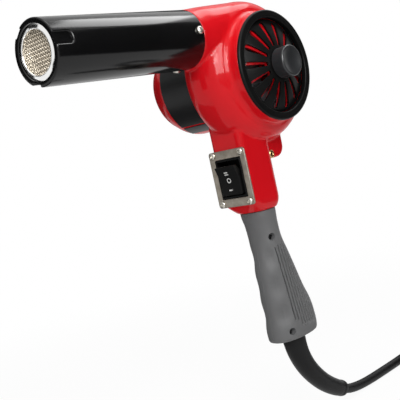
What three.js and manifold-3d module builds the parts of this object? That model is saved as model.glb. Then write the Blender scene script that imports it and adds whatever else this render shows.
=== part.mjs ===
// Hot air tool: a red die-cast blower with a black barrel, a motor drum, an air damper with a knob,
// a rocker switch in the neck, a two-part grip and a mains lead that is wound up beside it.
// Millimetres. The fan axis runs along Y, the barrel points to -X and +Z is up.
import * as THREE from "three";
import { mergeVertices } from "three/addons/utils/BufferGeometryUtils.js";
import Module from "manifold-3d";

const wasm = await Module();
wasm.setup();

const DEG = Math.PI / 180;
const QUARTER_TURN = 90;

// Fits shared by all pieces
const SEAT_GAP = 0.3;
const RUN_GAP = 0.6;

// Sides of round pieces
const WIDE_SIDES = 36;
const ROUND_SIDES = 20;
const SMALL_SIDES = 14;
const SCREW_SIDES = 8;

// Where the hand holds the grip, seen from the fan axis
const GRIP_POINT = new THREE.Vector3(-14, 0, -180);

// Blower housing
const HOUSING_WALL = 3;
const SCROLL_RADIUS = 63.4;
const SCROLL_CROWN_Y = -6.6;
const SCROLL_FRONT_Y = -26.8;
const SCROLL_BACK_Y = 18;
const SCROLL_FRONT_FOOT = 50.6;
const SCROLL_BACK_FOOT = 44;
const SCROLL_SQUARENESS = 2.6;
const COLLAR_RADIUS = 47.8;
const COLLAR_FRONT_Y = -38.7;
const COLLAR_FILLET = 3.2;
const OUTLET_REACH = 65;
const OUTLET_WALL = 2.8;
const DRUM_CLEARANCE = 1;
const BEARING_BOSS_RADIUS = 14;
const BEARING_BOSS_LENGTH = 5.8;
const WIRE_HOLE_RADIUS = 4;

// Barrel, its screen and its heater
const BARREL_RISE = 34.9;
const BARREL_RADIUS = 25;
const BARREL_LENGTH = 154;
const BARREL_WALL = 1.3;
const RIM_WIDTH = 4.1;
const SPIGOT_LENGTH = 19;
const KEYWAY_COUNT = 3;
const KEYWAY_FIRST_ANGLE = 12;
const KEYWAY_WIDTH = 9;
const KEYWAY_LENGTH = 17;
const KEYWAY_DEPTH = 2.2;
const BARREL_SCREW_COUNT = 3;
const BARREL_SCREW_FIRST_ANGLE = 6;
const BARREL_SCREW_INSET = 4.6;
const MOUTH_RING_BAND = 4.8;
const MOUTH_RING_DEPTH = 2.2;
const MOUTH_RING_BEAD = 0.7;
const LINER_WALL = 0.9;
const SCREEN_THICKNESS = 1;
const SCREEN_PITCH = 4.4;
const SCREEN_HOLE = 3;
const HEATER_LENGTH = 100;
const HEATER_FRONT_INSET = 16;
const HEATER_CORE_RADIUS = 11;
const HEATER_CARD = 2;
const HEATER_END_THICKNESS = 3;
const HEATER_END_RIM = 3;
const HEATER_TURNS = 7;
const HEATER_WIRE_RADIUS = 1.2;

// Intake: grille, damper, ring and knob
const RING_RADIUS = 48.3;
const RING_DEPTH = 2.5;
const RING_BAND = 6.9;
const RING_EDGE = 2;
const GRILLE_THICKNESS = 2;
const GRILLE_LEDGE = 3;
const GRILLE_SEAT_DEPTH = 6.5;
const DAMPER_THICKNESS = 1.8;
const DAMPER_RIM_SETBACK = 4.5;
const DAMPER_RISE = 9.6;
const SLOT_COUNT = 14;
const SLOT_INNER_RADIUS = 15.6;
const SLOT_OUTER_RADIUS = 38;
const SLOT_CUT_PAST = 5;
const SLOT_INNER_WIDTH = 3;
const SLOT_OUTER_WIDTH = 6.6;
const DAMPER_REST_TURN = 3.5;
const SPINDLE_RADIUS = 3;
const SPINDLE_HEAD_RADIUS = 6;
const SPINDLE_HEAD = 2.5;
const HUB_RADIUS = 6;
const HUB_LENGTH = 5.4;
const KNOB_RADIUS = 13.5;
const KNOB_LENGTH = 12;
const KNOB_DISH = 2.4;
const KNOB_EDGE = 1.2;

// Motor drum and its bare label bands
const DRUM_RADIUS = 44;
const DRUM_LENGTH = 60.5;
const DRUM_SHOULDER = 44.5;
const DRUM_END_RADIUS = 34.4;
const DRUM_WALL = 2.5;
const DRUM_END_WALL = 4.5;
const BAND_THICKNESS = 0.5;
const BAND_START = 2.7;
const BAND_WIDTH = 37;
const BAND_SWEEPS = { rating_band: [118, 231], rating_band_lower: [234, 250] };
const VENT_COUNT = 9;
const VENT_INNER_RADIUS = 18;
const VENT_OUTER_RADIUS = 29;
const VENT_WIDTH = 4.5;
const COVER_SCREW_COUNT = 3;
const COVER_SCREW_CIRCLE = 24;
const COVER_SCREW_WELL = 2.6;

// Motor
const SHAFT_RADIUS = 4;
const SHAFT_FAN_REACH = 2;
const BEARING_RADIUS = 11;
const BEARING_LENGTH = 7;
const BEARING_LIP = 1.5;
const ARMATURE_RADIUS = 22;
const ARMATURE_SLOTS = 12;
const ARMATURE_SLOT_WIDTH = 3.6;
const ARMATURE_SLOT_DEPTH = 8;
const AIR_GAP = 0.9;
const STACK_LENGTH = 20;
const STACK_SETBACK = 13;
const YOKE_THICKNESS = 5.5;
const SHOE_THICKNESS = 4.5;
const SHOE_HALF_ANGLE = 42;
const POLE_HALF_ANGLE = 22;
const FIELD_COIL_HALF_ANGLE = 38;
const FIELD_COIL_OVERHANG = 4.5;
const WINDING_LENGTH = 4.6;
const WINDING_RADIUS = 18.5;
const COMMUTATOR_RADIUS = 11;
const COMMUTATOR_LENGTH = 8;
const BRUSH_WIDTH = 4.2;
const BRUSH_DEPTH = 6.4;
const BRUSH_LENGTH = 16;
const BRUSH_HOLDER_WALL = 1.6;

// Fan
const FAN_RADIUS = 42;
const FAN_EYE_RADIUS = 29;
const FAN_WIDTH = 27;
const FAN_PLATE = 2;
const FAN_RIM = 3;
const FAN_HUB_RADIUS = 8;
const FAN_HUB_LENGTH = 13;
const FAN_BLADES = 16;
const FAN_BLADE_THICKNESS = 1.6;
const FAN_BLADE_ANGLE = 32;
const FAN_BACK_GAP = 2.6;
const FAN_NUT_RADIUS = 6.5;
const FAN_NUT_LENGTH = 5;

// Neck, switch and rear lug. Steps of the neck's foot: height, then how far its front and back have come in
const NECK_FRONT_X = -40.3;
const NECK_BACK_X = 0.8;
const NECK_HALF_WIDTH = 18;
const NECK_FRONT_CORNER = 4;
const NECK_BACK_CORNER = 9;
const NECK_BOTTOM_Z = -121.3;
const NECK_ROUNDING = 10;
const NECK_LIP = 0.6;
const NECK_FOOT_ROUNDNESS = 0.85;
const NECK_FOOT_STEPS = [
  [1.2, 0, 0],
  [1, 0, 0],
  [0.8, 0.14, 0.03],
  [0.55, 0.42, 0.14],
  [0.3, 0.7, 0.38],
  [0.1, 0.9, 0.72],
  [0, 1, 1],
];
const NECK_CAVITY_TOP_Z = -65;
const NECK_FLOOR = 10;
const PLATE_Z = -87.9;
const PLATE_WIDTH = 41;
const PLATE_HEIGHT = 50;
const PLATE_THICKNESS = 1.6;
const PLATE_CORNER = 2.5;
const PLATE_SCREW_SIDE_INSET = 4.7;
const PLATE_SCREW_END_INSET = 3.3;
const SWITCH_WIDTH = 28.8;
const SWITCH_HEIGHT = 34.6;
const SWITCH_DEPTH = 22;
const ROCKER_WIDTH = 22.6;
const ROCKER_HEIGHT = 26;
const ROCKER_PROUD = 5;
const ROCKER_VALLEY = 2.6;
const ROCKER_DEPTH = 11;
const ROCKER_REST_TILT = 9;
const ROCKER_WELL_DEPTH = 14;
const ROCKER_SIDE_GAP = 1.5;
const ROCKER_END_GAP = 2.4;
const ROCKER_EDGE = 3.4;
const ROCKER_BACK_RADIUS = 5;
const ROCKER_PIN_RADIUS = 1.6;
const LUG_HALF_WIDTH = 12;
const LUG_REACH = 24.6;
const LUG_ROOT = 14;
const LUG_BOTTOM_Z = -79;
const LUG_CORNER = 8;
const RIVET_X = 4.3;
const RIVET_Z = -75.1;
const RIVET_RADIUS = 2.3;
const RIVET_BORE = 1.3;
const RIVET_FLANGE_RADIUS = 3.6;
const RIVET_FLANGE = 0.8;

// Grip: drop below the neck, front and back edge, half width
const GRIP_STATIONS = [
  [0, -32, -1, 15.2],
  [5.2, -31.4, -1.2, 15],
  [11.7, -29.6, -1.6, 14.5],
  [25.7, -28.6, -0.4, 14.2],
  [41.7, -29.7, 5.7, 14.4],
  [57.7, -30.9, 11.3, 14.8],
  [74.7, -31.6, 16.8, 15.4],
  [91.7, -31, 23.7, 16],
  [107.5, -32.4, 26, 16.5],
  [114.8, -32.2, 25.6, 16.4],
  [117.8, -31.2, 24.4, 15.6],
  [119, -28.6, 21.8, 13.4],
];
const GRIP_SQUARENESS = 2.2;
const GRIP_WALL = 3;
const GRIP_SPLIT = 0.3;
const GRIP_TOP_WALL = 5;
const GRIP_END_WALL = 4;
const TANG_RADIUS = 11;
const TANG_LENGTH = 12;
const GRIP_SCREW_X = -20.4;
const GRIP_SCREW_DROPS = [24.1, 110.5];
const GRIP_BOSS_RADIUS = 5;
const GRIP_SCREW_HOLE_RADIUS = 3.2;
const GRIP_SCREW_SEAT = 9;

// Lead: tapered sleeve, free stretch, coil, tie and plug
const LEAD_RADIUS = 4.5;
const SLEEVE_X = -4;
const SLEEVE_TOP_RADIUS = 10.5;
const SLEEVE_END_RADIUS = 7;
const SLEEVE_BEAD = 0.5;
const SLEEVE_NECK_RADIUS = 9.2;
const SLEEVE_NECK_LENGTH = 9;
const SLEEVE_ROUTE = [
  [-4, -246], [-3.2, -252], [-1.6, -258.5], [1.3, -265.7], [6, -274], [13.2, -283.2], [22.6, -292.6],
  [32.5, -300.2], [42, -306], [46.5, -308.2], [49, -309.35], [51, -310.25],
];
const SURFACE_Z = -323;
const LEAD_SIDES = 10;
const COIL_START_X = 200;
const COIL_TURNS = 3;
const COIL_PITCH = 9.6;
const COIL_INNER_RADIUS = 35.6;
const COIL_STEPS = 24;
const COIL_SIDES = 6;
const COIL_TAIL = 46;
const TIE_THICKNESS = 0.8;
const TIE_WIDTH = 12;
const TIE_SLACK = 0.9;
const PLUG_WIDTH = 27;
const PLUG_LENGTH = 30;
const PLUG_NOSE_LENGTH = 20;
const PLUG_NOSE_RADIUS = 7;
const PLUG_NOSE_STEP = 5;
const PLUG_NOSE_SWELL = 3;
const PLUG_SHOULDER = 4;
const PLUG_CORNER = 6;
const BLADE_SPACING = 12.7;
const BLADE_WIDTH = 6.3;
const BLADE_THICKNESS = 1.5;
const BLADE_LENGTH = 17;
const EARTH_RADIUS = 2.4;
const EARTH_LENGTH = 20;
const EARTH_DROP = 10.5;

// Fasteners: head radius, head height, shank radius and length
const BARREL_SCREW = { head: 3.3, rise: 2.2, shank: 1.5, length: 5 };
const PLATE_SCREW = { head: 2.9, rise: 1.7, shank: 1.4, length: 5 };
const GRIP_SCREW = { head: 2.7, rise: 2, shank: 1.5, length: 16 };
const COVER_SCREW = { head: 3, rise: 2, shank: 1.5, length: 8 };

// Sizes that follow from the ones above
const ductFrontX = -OUTLET_REACH;
const barrelRearX = ductFrontX - SEAT_GAP;
const barrelFrontX = barrelRearX - BARREL_LENGTH;
const barrelBore = BARREL_RADIUS - BARREL_WALL;
const spigotRadius = barrelBore - SEAT_GAP;
const outletBore = spigotRadius - OUTLET_WALL;
const spigotEndX = ductFrontX - SPIGOT_LENGTH;
const linerRadius = BARREL_RADIUS - KEYWAY_DEPTH - BARREL_WALL - SEAT_GAP;
const linerBore = linerRadius - LINER_WALL;
const rimOpening = BARREL_RADIUS - RIM_WIDTH;
const mouthRingBore = linerRadius - MOUTH_RING_BAND;
const drumStartY = SCROLL_BACK_Y + SEAT_GAP;
const drumEndY = drumStartY + DRUM_LENGTH;
const drumShoulderY = drumStartY + DRUM_SHOULDER;
const drumBore = DRUM_RADIUS - DRUM_WALL;
const drumEndBore = DRUM_END_RADIUS - DRUM_WALL;
const damperRadius = RING_RADIUS - RING_BAND - RUN_GAP;
const ringBackY = COLLAR_FRONT_Y - SEAT_GAP;
const ringFrontY = ringBackY - RING_DEPTH;
const damperRimY = ringFrontY + DAMPER_RIM_SETBACK;
const grilleGap = DAMPER_THICKNESS + RUN_GAP;
const boreGap = SPINDLE_RADIUS + SEAT_GAP;
const collarBore = COLLAR_RADIUS - HOUSING_WALL;
const intakeRadius = collarBore - GRILLE_LEDGE;
const grilleSeatY = COLLAR_FRONT_Y + GRILLE_SEAT_DEPTH;
const plateFrontX = NECK_FRONT_X - SEAT_GAP - PLATE_THICKNESS;
const gripTopZ = NECK_BOTTOM_Z - SEAT_GAP;
const gripBottomZ = gripTopZ - GRIP_STATIONS.at(-1)[0];
const coilLift = TIE_THICKNESS + SEAT_GAP;
const coilLowZ = SURFACE_Z + coilLift + LEAD_RADIUS;
const coilHighZ = coilLowZ + COIL_PITCH;
const coilOuterRadius = COIL_INNER_RADIUS + COIL_TURNS * COIL_PITCH;
const coilCentre = new THREE.Vector3(COIL_START_X, -coilOuterRadius, 0);
const plugStartX = COIL_START_X + COIL_TAIL + SEAT_GAP;
const plugHeight = 2 * (coilHighZ - SURFACE_Z);
const plugFaceX = plugStartX + PLUG_NOSE_LENGTH + PLUG_LENGTH;

const FINISHES = {
  redPaint: { color: 0xc8141c, roughness: 0.22, metalness: 0 },
  blackEnamel: { color: 0x101011, roughness: 0.25, metalness: 0.2 },
  blackPlastic: { color: 0x17181a, roughness: 0.5, metalness: 0 },
  knobPlastic: { color: 0x2b2c2e, roughness: 0.45, metalness: 0 },
  greyGrip: { color: 0x666668, roughness: 0.65, metalness: 0 },
  bandFilm: { color: 0x16191b, roughness: 0.4, metalness: 0 },
  nickel: { color: 0x9a9288, roughness: 0.4, metalness: 0.8 },
  zinc: { color: 0xcfcfcb, roughness: 0.3, metalness: 0.9 },
  polished: { color: 0xe2e2df, roughness: 0.12, metalness: 1 },
  wire: { color: 0xc9bfae, roughness: 0.45, metalness: 0.8 },
  steel: { color: 0x8f9296, roughness: 0.35, metalness: 0.9 },
  brass: { color: 0xb8955a, roughness: 0.3, metalness: 0.9 },
  copper: { color: 0xa35a34, roughness: 0.4, metalness: 0.8 },
  carbon: { color: 0x222224, roughness: 0.7, metalness: 0 },
  mica: { color: 0xcabf9f, roughness: 0.6, metalness: 0 },
  fanMetal: { color: 0xb9bcbf, roughness: 0.35, metalness: 0.9 },
  rubber: { color: 0x1d1d1e, roughness: 0.5, metalness: 0 },
};

const tool = new THREE.Group();
tool.position.copy(GRIP_POINT).negate();

// Adds a named piece from plain geometry or from a joined or cut solid
function piece(name, shape, finish) {
  const solid = shape instanceof THREE.BufferGeometry ? solidOf(shape) : shape;
  const mesh = new THREE.Mesh(geometryOf(solid), new THREE.MeshStandardMaterial(FINISHES[finish]));
  mesh.name = name;
  tool.add(mesh);
  return mesh;
}

// Merges shared corners, drops flat triangles and turns the faces outwards
function closed(geometry) {
  const bare = geometry.clone();
  bare.deleteAttribute("normal");
  bare.deleteAttribute("uv");
  const merged = mergeVertices(bare, 1e-4);
  const kept = [];
  const corner = [new THREE.Vector3(), new THREE.Vector3(), new THREE.Vector3()];
  let volume = 0;
  for (let i = 0; i < merged.index.count; i += 3) {
    const [a, b, c] = [0, 1, 2].map((k) => merged.index.getX(i + k));
    if (a === b || b === c || c === a) continue;
    [a, b, c].forEach((index, k) => corner[k].fromBufferAttribute(merged.attributes.position, index));
    volume += corner[0].dot(corner[1].clone().cross(corner[2]));
    kept.push(a, b, c);
  }
  merged.setIndex(volume < 0 ? kept.reverse() : kept);
  return merged;
}

function solidOf(geometry) {
  const shape = closed(geometry);
  const vertProperties = new Float32Array(shape.attributes.position.array);
  const triVerts = new Uint32Array(shape.index.array);
  return new wasm.Manifold(new wasm.Mesh({ numProp: 3, vertProperties, triVerts }));
}

function geometryOf(solid) {
  const mesh = solid.getMesh();
  const geometry = new THREE.BufferGeometry();
  geometry.setAttribute("position", new THREE.BufferAttribute(mesh.vertProperties, 3));
  geometry.setIndex(new THREE.BufferAttribute(mesh.triVerts, 1));
  return geometry;
}

function joined(...geometries) {
  return geometries.map(solidOf).reduce((whole, next) => whole.add(next));
}

function cut(solid, ...geometries) {
  return geometries.map(solidOf).reduce((rest, tooth) => rest.subtract(tooth), solid);
}

// A profile of [radius, height] pairs turned about Y. A profile that leaves the axis closes on itself.
function turned(profile, sides) {
  const points = profile.map(([radius, height]) => new THREE.Vector2(radius, height));
  const onAxis = points[0].x === 0 && points.at(-1).x === 0;
  if (!onAxis) points.push(points[0].clone());
  return new THREE.LatheGeometry(points, sides);
}

function turnedAboutX(profile, sides) {
  return turned(profile, sides).rotateZ(-Math.PI / 2);
}

function turnedAboutZ(profile, sides) {
  return turned(profile, sides).rotateX(Math.PI / 2);
}

function tubeProfile(inner, outer, from, to) {
  return [[inner, from], [outer, from], [outer, to], [inner, to]];
}

function rodProfile(radius, from, to) {
  return [[0, from], [radius, from], [radius, to], [0, to]];
}

function extruded(shape, from, to, curveSegments) {
  const settings = { depth: to - from, bevelEnabled: false, curveSegments };
  return new THREE.ExtrudeGeometry(shape, settings).translate(0, 0, from);
}

// A shape drawn in X and Z, drawn out along Y
function extrudedAlongY(shape, from, to, curveSegments = 6) {
  return extruded(shape, -to, -from, curveSegments).rotateX(Math.PI / 2);
}

// A shape drawn in Y and Z, drawn out along X
function extrudedAlongX(shape, from, to, curveSegments = 6) {
  const turn = new THREE.Matrix4().makeBasis(
    new THREE.Vector3(0, 1, 0),
    new THREE.Vector3(0, 0, 1),
    new THREE.Vector3(1, 0, 0),
  );
  return extruded(shape, from, to, curveSegments).applyMatrix4(turn);
}

function block(low, high) {
  const size = high.map((value, axis) => value - low[axis]);
  const middle = high.map((value, axis) => (value + low[axis]) / 2);
  return new THREE.BoxGeometry(...size).translate(...middle);
}

function roundedRectangle(width, height, corner) {
  const shape = new THREE.Shape();
  const [x, y] = [width / 2 - corner, height / 2 - corner];
  shape.absarc(x, y, corner, 0, Math.PI / 2);
  shape.absarc(-x, y, corner, Math.PI / 2, Math.PI);
  shape.absarc(-x, -y, corner, Math.PI, 1.5 * Math.PI);
  shape.absarc(x, -y, corner, 1.5 * Math.PI, 2 * Math.PI);
  return shape;
}

function ringSector(inner, outer, from, to) {
  const shape = new THREE.Shape();
  shape.absarc(0, 0, outer, from * DEG, to * DEG, false);
  shape.absarc(0, 0, inner, to * DEG, from * DEG, true);
  return shape;
}

// A closed skin over rings of equal length, with a flat fan over each end
function loft(rings) {
  const count = rings[0].length;
  const points = rings.flat();
  const index = [];
  for (let r = 0; r < rings.length - 1; r += 1) {
    for (let k = 0; k < count; k += 1) {
      const next = (k + 1) % count;
      const [a, b] = [r * count + k, r * count + next];
      index.push(a, b, b + count, a, b + count, a + count);
    }
  }
  [0, rings.length - 1].forEach((r) => {
    const middle = rings[r].reduce((sum, point) => sum.add(point), new THREE.Vector3());
    points.push(middle.divideScalar(count));
    for (let k = 0; k < count; k += 1) {
      const [a, b] = [r * count + k, r * count + ((k + 1) % count)];
      index.push(...(r === 0 ? [points.length - 1, b, a] : [points.length - 1, a, b]));
    }
  });
  const geometry = new THREE.BufferGeometry().setFromPoints(points);
  geometry.setIndex(index);
  return geometry;
}

// A round tube through points, square to the path at each point. The path never runs along the seed.
function roundTube(points, radius, sides, seed) {
  const rings = points.map((point, i) => {
    const before = points[Math.max(i - 1, 0)];
    const after = points[Math.min(i + 1, points.length - 1)];
    const along = after.clone().sub(before).normalize();
    const side = new THREE.Vector3().crossVectors(along, seed).normalize();
    const top = new THREE.Vector3().crossVectors(side, along);
    return circleRing(point, side, top, radius, sides);
  });
  return loft(rings);
}

function circleRing(centre, side, top, radius, sides) {
  return Array.from({ length: sides }, (_, k) => {
    const turn = ((k + 0.5) / sides) * 2 * Math.PI;
    const reach = side.clone().multiplyScalar(Math.cos(turn) * radius);
    return centre.clone().add(reach).addScaledVector(top, Math.sin(turn) * radius);
  });
}

// Least gap between strands of a wound tube, measured on its points further apart along it than a reach
function leastSelfGap(points, radius, reach) {
  const lengths = [0];
  for (let i = 1; i < points.length; i += 1) {
    lengths.push(lengths[i - 1] + points[i].distanceTo(points[i - 1]));
  }
  let least = Infinity;
  for (let i = 0; i < points.length; i += 1) {
    for (let k = i + 1; k < points.length; k += 1) {
      if (lengths[k] - lengths[i] > reach) least = Math.min(least, points[i].distanceTo(points[k]));
    }
  }
  return least - 2 * radius;
}

// A pan-head screw along -Y: its head rises from y = 0 and its shank goes down to +Y
function screwGeometry({ head, rise, shank, length }) {
  const profile = [[0, -rise], [head * 0.6, -rise], [head, -rise * 0.45], [head, 0], [shank, 0]];
  return turned([...profile, [shank, length], [0, length]], SCREW_SIDES);
}

function aroundBarrel(geometry, angle) {
  return geometry.rotateX(-angle * DEG).translate(0, 0, BARREL_RISE);
}

// The scroll's outline as [radius, y] pairs, from its front foot over the crown to its back foot
function scrollOutline(crown, frontY, frontFoot, backY, backFoot) {
  const steps = 5;
  const power = 2 / SCROLL_SQUARENESS;
  const side = (edgeY, foot) => Array.from({ length: steps + 1 }, (_, i) => {
    const turn = (i / steps) * (Math.PI / 2);
    const radius = foot + (crown - foot) * Math.cos(turn) ** power;
    return [radius, SCROLL_CROWN_Y + (edgeY - SCROLL_CROWN_Y) * Math.sin(turn) ** power];
  });
  return [...side(frontY, frontFoot).reverse(), ...side(backY, backFoot).slice(1)];
}

function ovalRing(x, centreY, centreZ, halfY, halfZ, squareness) {
  const count = 24;
  const power = 2 / squareness;
  return Array.from({ length: count }, (_, k) => {
    const turn = (k / count) * 2 * Math.PI;
    const [c, s] = [Math.cos(turn), Math.sin(turn)];
    const y = centreY + halfY * Math.sign(c) * Math.abs(c) ** power;
    const z = centreZ + halfZ * Math.sign(s) * Math.abs(s) ** power;
    return new THREE.Vector3(x, y, z);
  });
}

// Outlet duct from the barrel's round end into the top of the scroll, narrow where it passes the drum
function outletDuct(inset) {
  const scrollMiddleY = (SCROLL_FRONT_Y + SCROLL_BACK_Y) / 2;
  const scrollHalf = (SCROLL_BACK_Y - SCROLL_FRONT_Y) / 2;
  const innerHalfZ = (SCROLL_RADIUS - (BARREL_RISE - BARREL_RADIUS)) / 2;
  const innerZ = SCROLL_RADIUS - innerHalfZ;
  const mix = THREE.MathUtils.lerp;
  const narrowed = (OUTLET_REACH - DRUM_RADIUS - DRUM_CLEARANCE) / OUTLET_REACH;
  const rings = [0, narrowed / 2, narrowed, (narrowed + 1) / 2, 1].map((share) => {
    const sideways = Math.min(1, share / narrowed);
    const halfY = mix(BARREL_RADIUS, scrollHalf, sideways) - inset;
    const halfZ = mix(BARREL_RADIUS, innerHalfZ, share) - inset;
    const centreY = mix(0, scrollMiddleY, sideways);
    const centreZ = mix(BARREL_RISE, innerZ, share);
    const squareness = mix(2, SCROLL_SQUARENESS, share);
    return ovalRing(ductFrontX * (1 - share), centreY, centreZ, halfY, halfZ, squareness);
  });
  return loft(rings);
}

// Corner points of a rounded outline between two ends, each end with its own corner radius
function roundedOutline(low, high, half, lowCorner, highCorner) {
  const steps = 4;
  const corner = (u, v, radius, from) => Array.from({ length: steps + 1 }, (_, i) => {
    const turn = (from + (QUARTER_TURN * i) / steps) * DEG;
    return [u + radius * Math.cos(turn), v + radius * Math.sin(turn)];
  });
  return [
    ...corner(high - highCorner, half - highCorner, highCorner, 0),
    ...corner(low + lowCorner, half - lowCorner, lowCorner, 90),
    ...corner(low + lowCorner, -half + lowCorner, lowCorner, 180),
    ...corner(high - highCorner, -half + highCorner, highCorner, 270),
  ];
}

function neckRing(z, front, back, half, frontCorner, backCorner) {
  const outline = roundedOutline(front, back, half, frontCorner, backCorner);
  return outline.map(([x, y]) => new THREE.Vector3(x, y, z));
}

// The straight neck below the scroll
function neckColumn(inset, topZ, bottomZ) {
  const [front, back] = [NECK_FRONT_X + inset, NECK_BACK_X - inset];
  const half = NECK_HALF_WIDTH - inset;
  const straight = (z) => neckRing(z, front, back, half, NECK_FRONT_CORNER, NECK_BACK_CORNER);
  return loft([straight(topZ), straight(bottomZ)]);
}

// The neck's foot, rounding in to the grip sooner at its front than at its back
function neckFoot() {
  const [, gripFront, gripBack, gripHalf] = GRIP_STATIONS[0];
  const mix = THREE.MathUtils.lerp;
  const roundCorner = gripHalf * NECK_FOOT_ROUNDNESS;
  const rings = NECK_FOOT_STEPS.map(([height, atFront, atBack]) => neckRing(
    NECK_BOTTOM_Z + NECK_ROUNDING * height,
    mix(NECK_FRONT_X, gripFront - NECK_LIP, atFront),
    mix(NECK_BACK_X, gripBack + NECK_LIP, atBack),
    mix(NECK_HALF_WIDTH, gripHalf + NECK_LIP, (atFront + atBack) / 2),
    mix(NECK_FRONT_CORNER, roundCorner, atFront),
    mix(NECK_BACK_CORNER, roundCorner, atBack),
  ));
  return loft(rings);
}

function rearLug() {
  const shape = new THREE.Shape();
  const top = -SCROLL_RADIUS + LUG_ROOT;
  shape.moveTo(NECK_BACK_X - NECK_BACK_CORNER, top);
  shape.lineTo(NECK_BACK_X - NECK_BACK_CORNER, LUG_BOTTOM_Z);
  shape.lineTo(LUG_REACH - 2 * LUG_CORNER, LUG_BOTTOM_Z);
  shape.absarc(LUG_REACH - LUG_CORNER, LUG_BOTTOM_Z + LUG_CORNER, LUG_CORNER, -0.6 * Math.PI, 0);
  shape.lineTo(LUG_REACH + 2, top);
  return extrudedAlongY(shape, -LUG_HALF_WIDTH, LUG_HALF_WIDTH);
}

function plateScrewPlaces() {
  const y = PLATE_WIDTH / 2 - PLATE_SCREW_SIDE_INSET;
  const z = PLATE_HEIGHT / 2 - PLATE_SCREW_END_INSET;
  return [[y, z], [-y, z], [y, -z], [-y, -z]];
}

function barrelScrewAngles() {
  const step = 360 / BARREL_SCREW_COUNT;
  return Array.from({ length: BARREL_SCREW_COUNT }, (_, i) => BARREL_SCREW_FIRST_ANGLE + i * step);
}

// A round hole of one radius along -Y from a depth to a height, at a place along the barrel
function barrelHole(radius, fromRadius, toRadius, angle) {
  const hole = turned(rodProfile(radius, -toRadius, -fromRadius), SCREW_SIDES);
  return aroundBarrel(hole.translate(barrelRearX - BARREL_SCREW_INSET, 0, 0), angle);
}

function blowerHousing() {
  const filletWidth = SCROLL_FRONT_FOOT - COLLAR_RADIUS;
  const outline = scrollOutline(
    SCROLL_RADIUS,
    SCROLL_FRONT_Y,
    SCROLL_FRONT_FOOT,
    SCROLL_BACK_Y,
    SCROLL_BACK_FOOT,
  );
  const outer = [
    [0, COLLAR_FRONT_Y],
    [COLLAR_RADIUS, COLLAR_FRONT_Y],
    [COLLAR_RADIUS, SCROLL_FRONT_Y - COLLAR_FILLET],
    [COLLAR_RADIUS + filletWidth * 0.25, SCROLL_FRONT_Y - COLLAR_FILLET * 0.4],
    ...outline,
    [0, SCROLL_BACK_Y],
  ];
  const spigot = turnedAboutX(rodProfile(spigotRadius, spigotEndX, ductFrontX + 1), ROUND_SIDES);
  const outlet = turnedAboutX(rodProfile(outletBore, spigotEndX - 1, ductFrontX + 1), ROUND_SIDES);
  const bossEndY = SCROLL_BACK_Y + BEARING_BOSS_LENGTH;
  const boss = rodProfile(BEARING_BOSS_RADIUS, SCROLL_BACK_Y - HOUSING_WALL, bossEndY);
  const neckFootTop = NECK_BOTTOM_Z + NECK_ROUNDING;
  const whole = joined(
    turned(outer, WIDE_SIDES),
    outletDuct(0),
    spigot.translate(0, 0, BARREL_RISE),
    turned(boss, ROUND_SIDES),
    neckColumn(0, -SCROLL_RADIUS + 2 * NECK_ROUNDING, neckFootTop),
    neckFoot(),
    rearLug(),
  );
  const wall = HOUSING_WALL;
  const hollow = scrollOutline(
    SCROLL_RADIUS - wall,
    SCROLL_FRONT_Y + wall,
    intakeRadius,
    SCROLL_BACK_Y - wall,
    SCROLL_BACK_FOOT - wall,
  );
  const chamber = [[0, grilleSeatY], [intakeRadius, grilleSeatY], ...hollow, [0, SCROLL_BACK_Y - wall]];
  const seat = rodProfile(collarBore, COLLAR_FRONT_Y - 1, grilleSeatY);
  const bearingBore = BEARING_RADIUS + SEAT_GAP;
  const bearingFloor = bossEndY - BEARING_LENGTH - SEAT_GAP;
  const cavityBottom = NECK_BOTTOM_Z + NECK_FLOOR;
  const windowHalf = [SWITCH_WIDTH / 2 + SEAT_GAP, SWITCH_HEIGHT / 2 + SEAT_GAP];
  const pocketBackX = plateFrontX + SWITCH_DEPTH + SEAT_GAP;
  const screwHole = PLATE_SCREW.shank + SEAT_GAP;
  return cut(
    whole,
    turned(chamber, WIDE_SIDES),
    turned(seat, WIDE_SIDES),
    outletDuct(BARREL_RADIUS - outletBore),
    outlet.translate(0, 0, BARREL_RISE),
    turned(rodProfile(bearingBore, bearingFloor, bossEndY + 1), ROUND_SIDES),
    turned(rodProfile(bearingBore - BEARING_LIP, 0, bossEndY), ROUND_SIDES),
    neckColumn(wall, NECK_CAVITY_TOP_Z, cavityBottom),
    turnedAboutZ(rodProfile(TANG_RADIUS + SEAT_GAP, NECK_BOTTOM_Z - 1, cavityBottom + 1), ROUND_SIDES)
      .translate(gripAxisX(), 0, 0),
    turnedAboutZ(rodProfile(WIRE_HOLE_RADIUS, NECK_CAVITY_TOP_Z - 1, -SCROLL_RADIUS + 4 * wall), SMALL_SIDES)
      .translate(gripAxisX(), 0, 0),
    block(
      [plateFrontX - 1, -windowHalf[0], PLATE_Z - windowHalf[1]],
      [pocketBackX, windowHalf[0], PLATE_Z + windowHalf[1]],
    ),
    ...plateScrewPlaces().map(([y, z]) => {
      const hole = rodProfile(screwHole, plateFrontX, NECK_FRONT_X + PLATE_SCREW.length + SEAT_GAP);
      return turnedAboutX(hole, SCREW_SIDES).translate(0, y, PLATE_Z + z);
    }),
    ...barrelScrewAngles().map((angle) => {
      return barrelHole(BARREL_SCREW.shank + SEAT_GAP, outletBore - 2, BARREL_RADIUS - 0.1, angle);
    }),
    turned(rodProfile(RIVET_RADIUS + SEAT_GAP, -LUG_HALF_WIDTH - 1, LUG_HALF_WIDTH + 1), SMALL_SIDES)
      .translate(RIVET_X, 0, RIVET_Z),
  );
}

function gripAxisX() {
  return (GRIP_STATIONS[0][1] + GRIP_STATIONS[0][2]) / 2;
}

// Height of the damper's outer face over its radius
function domeY(radius) {
  return damperRimY - DAMPER_RISE * (1 - (radius / damperRadius) ** 2);
}

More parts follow.
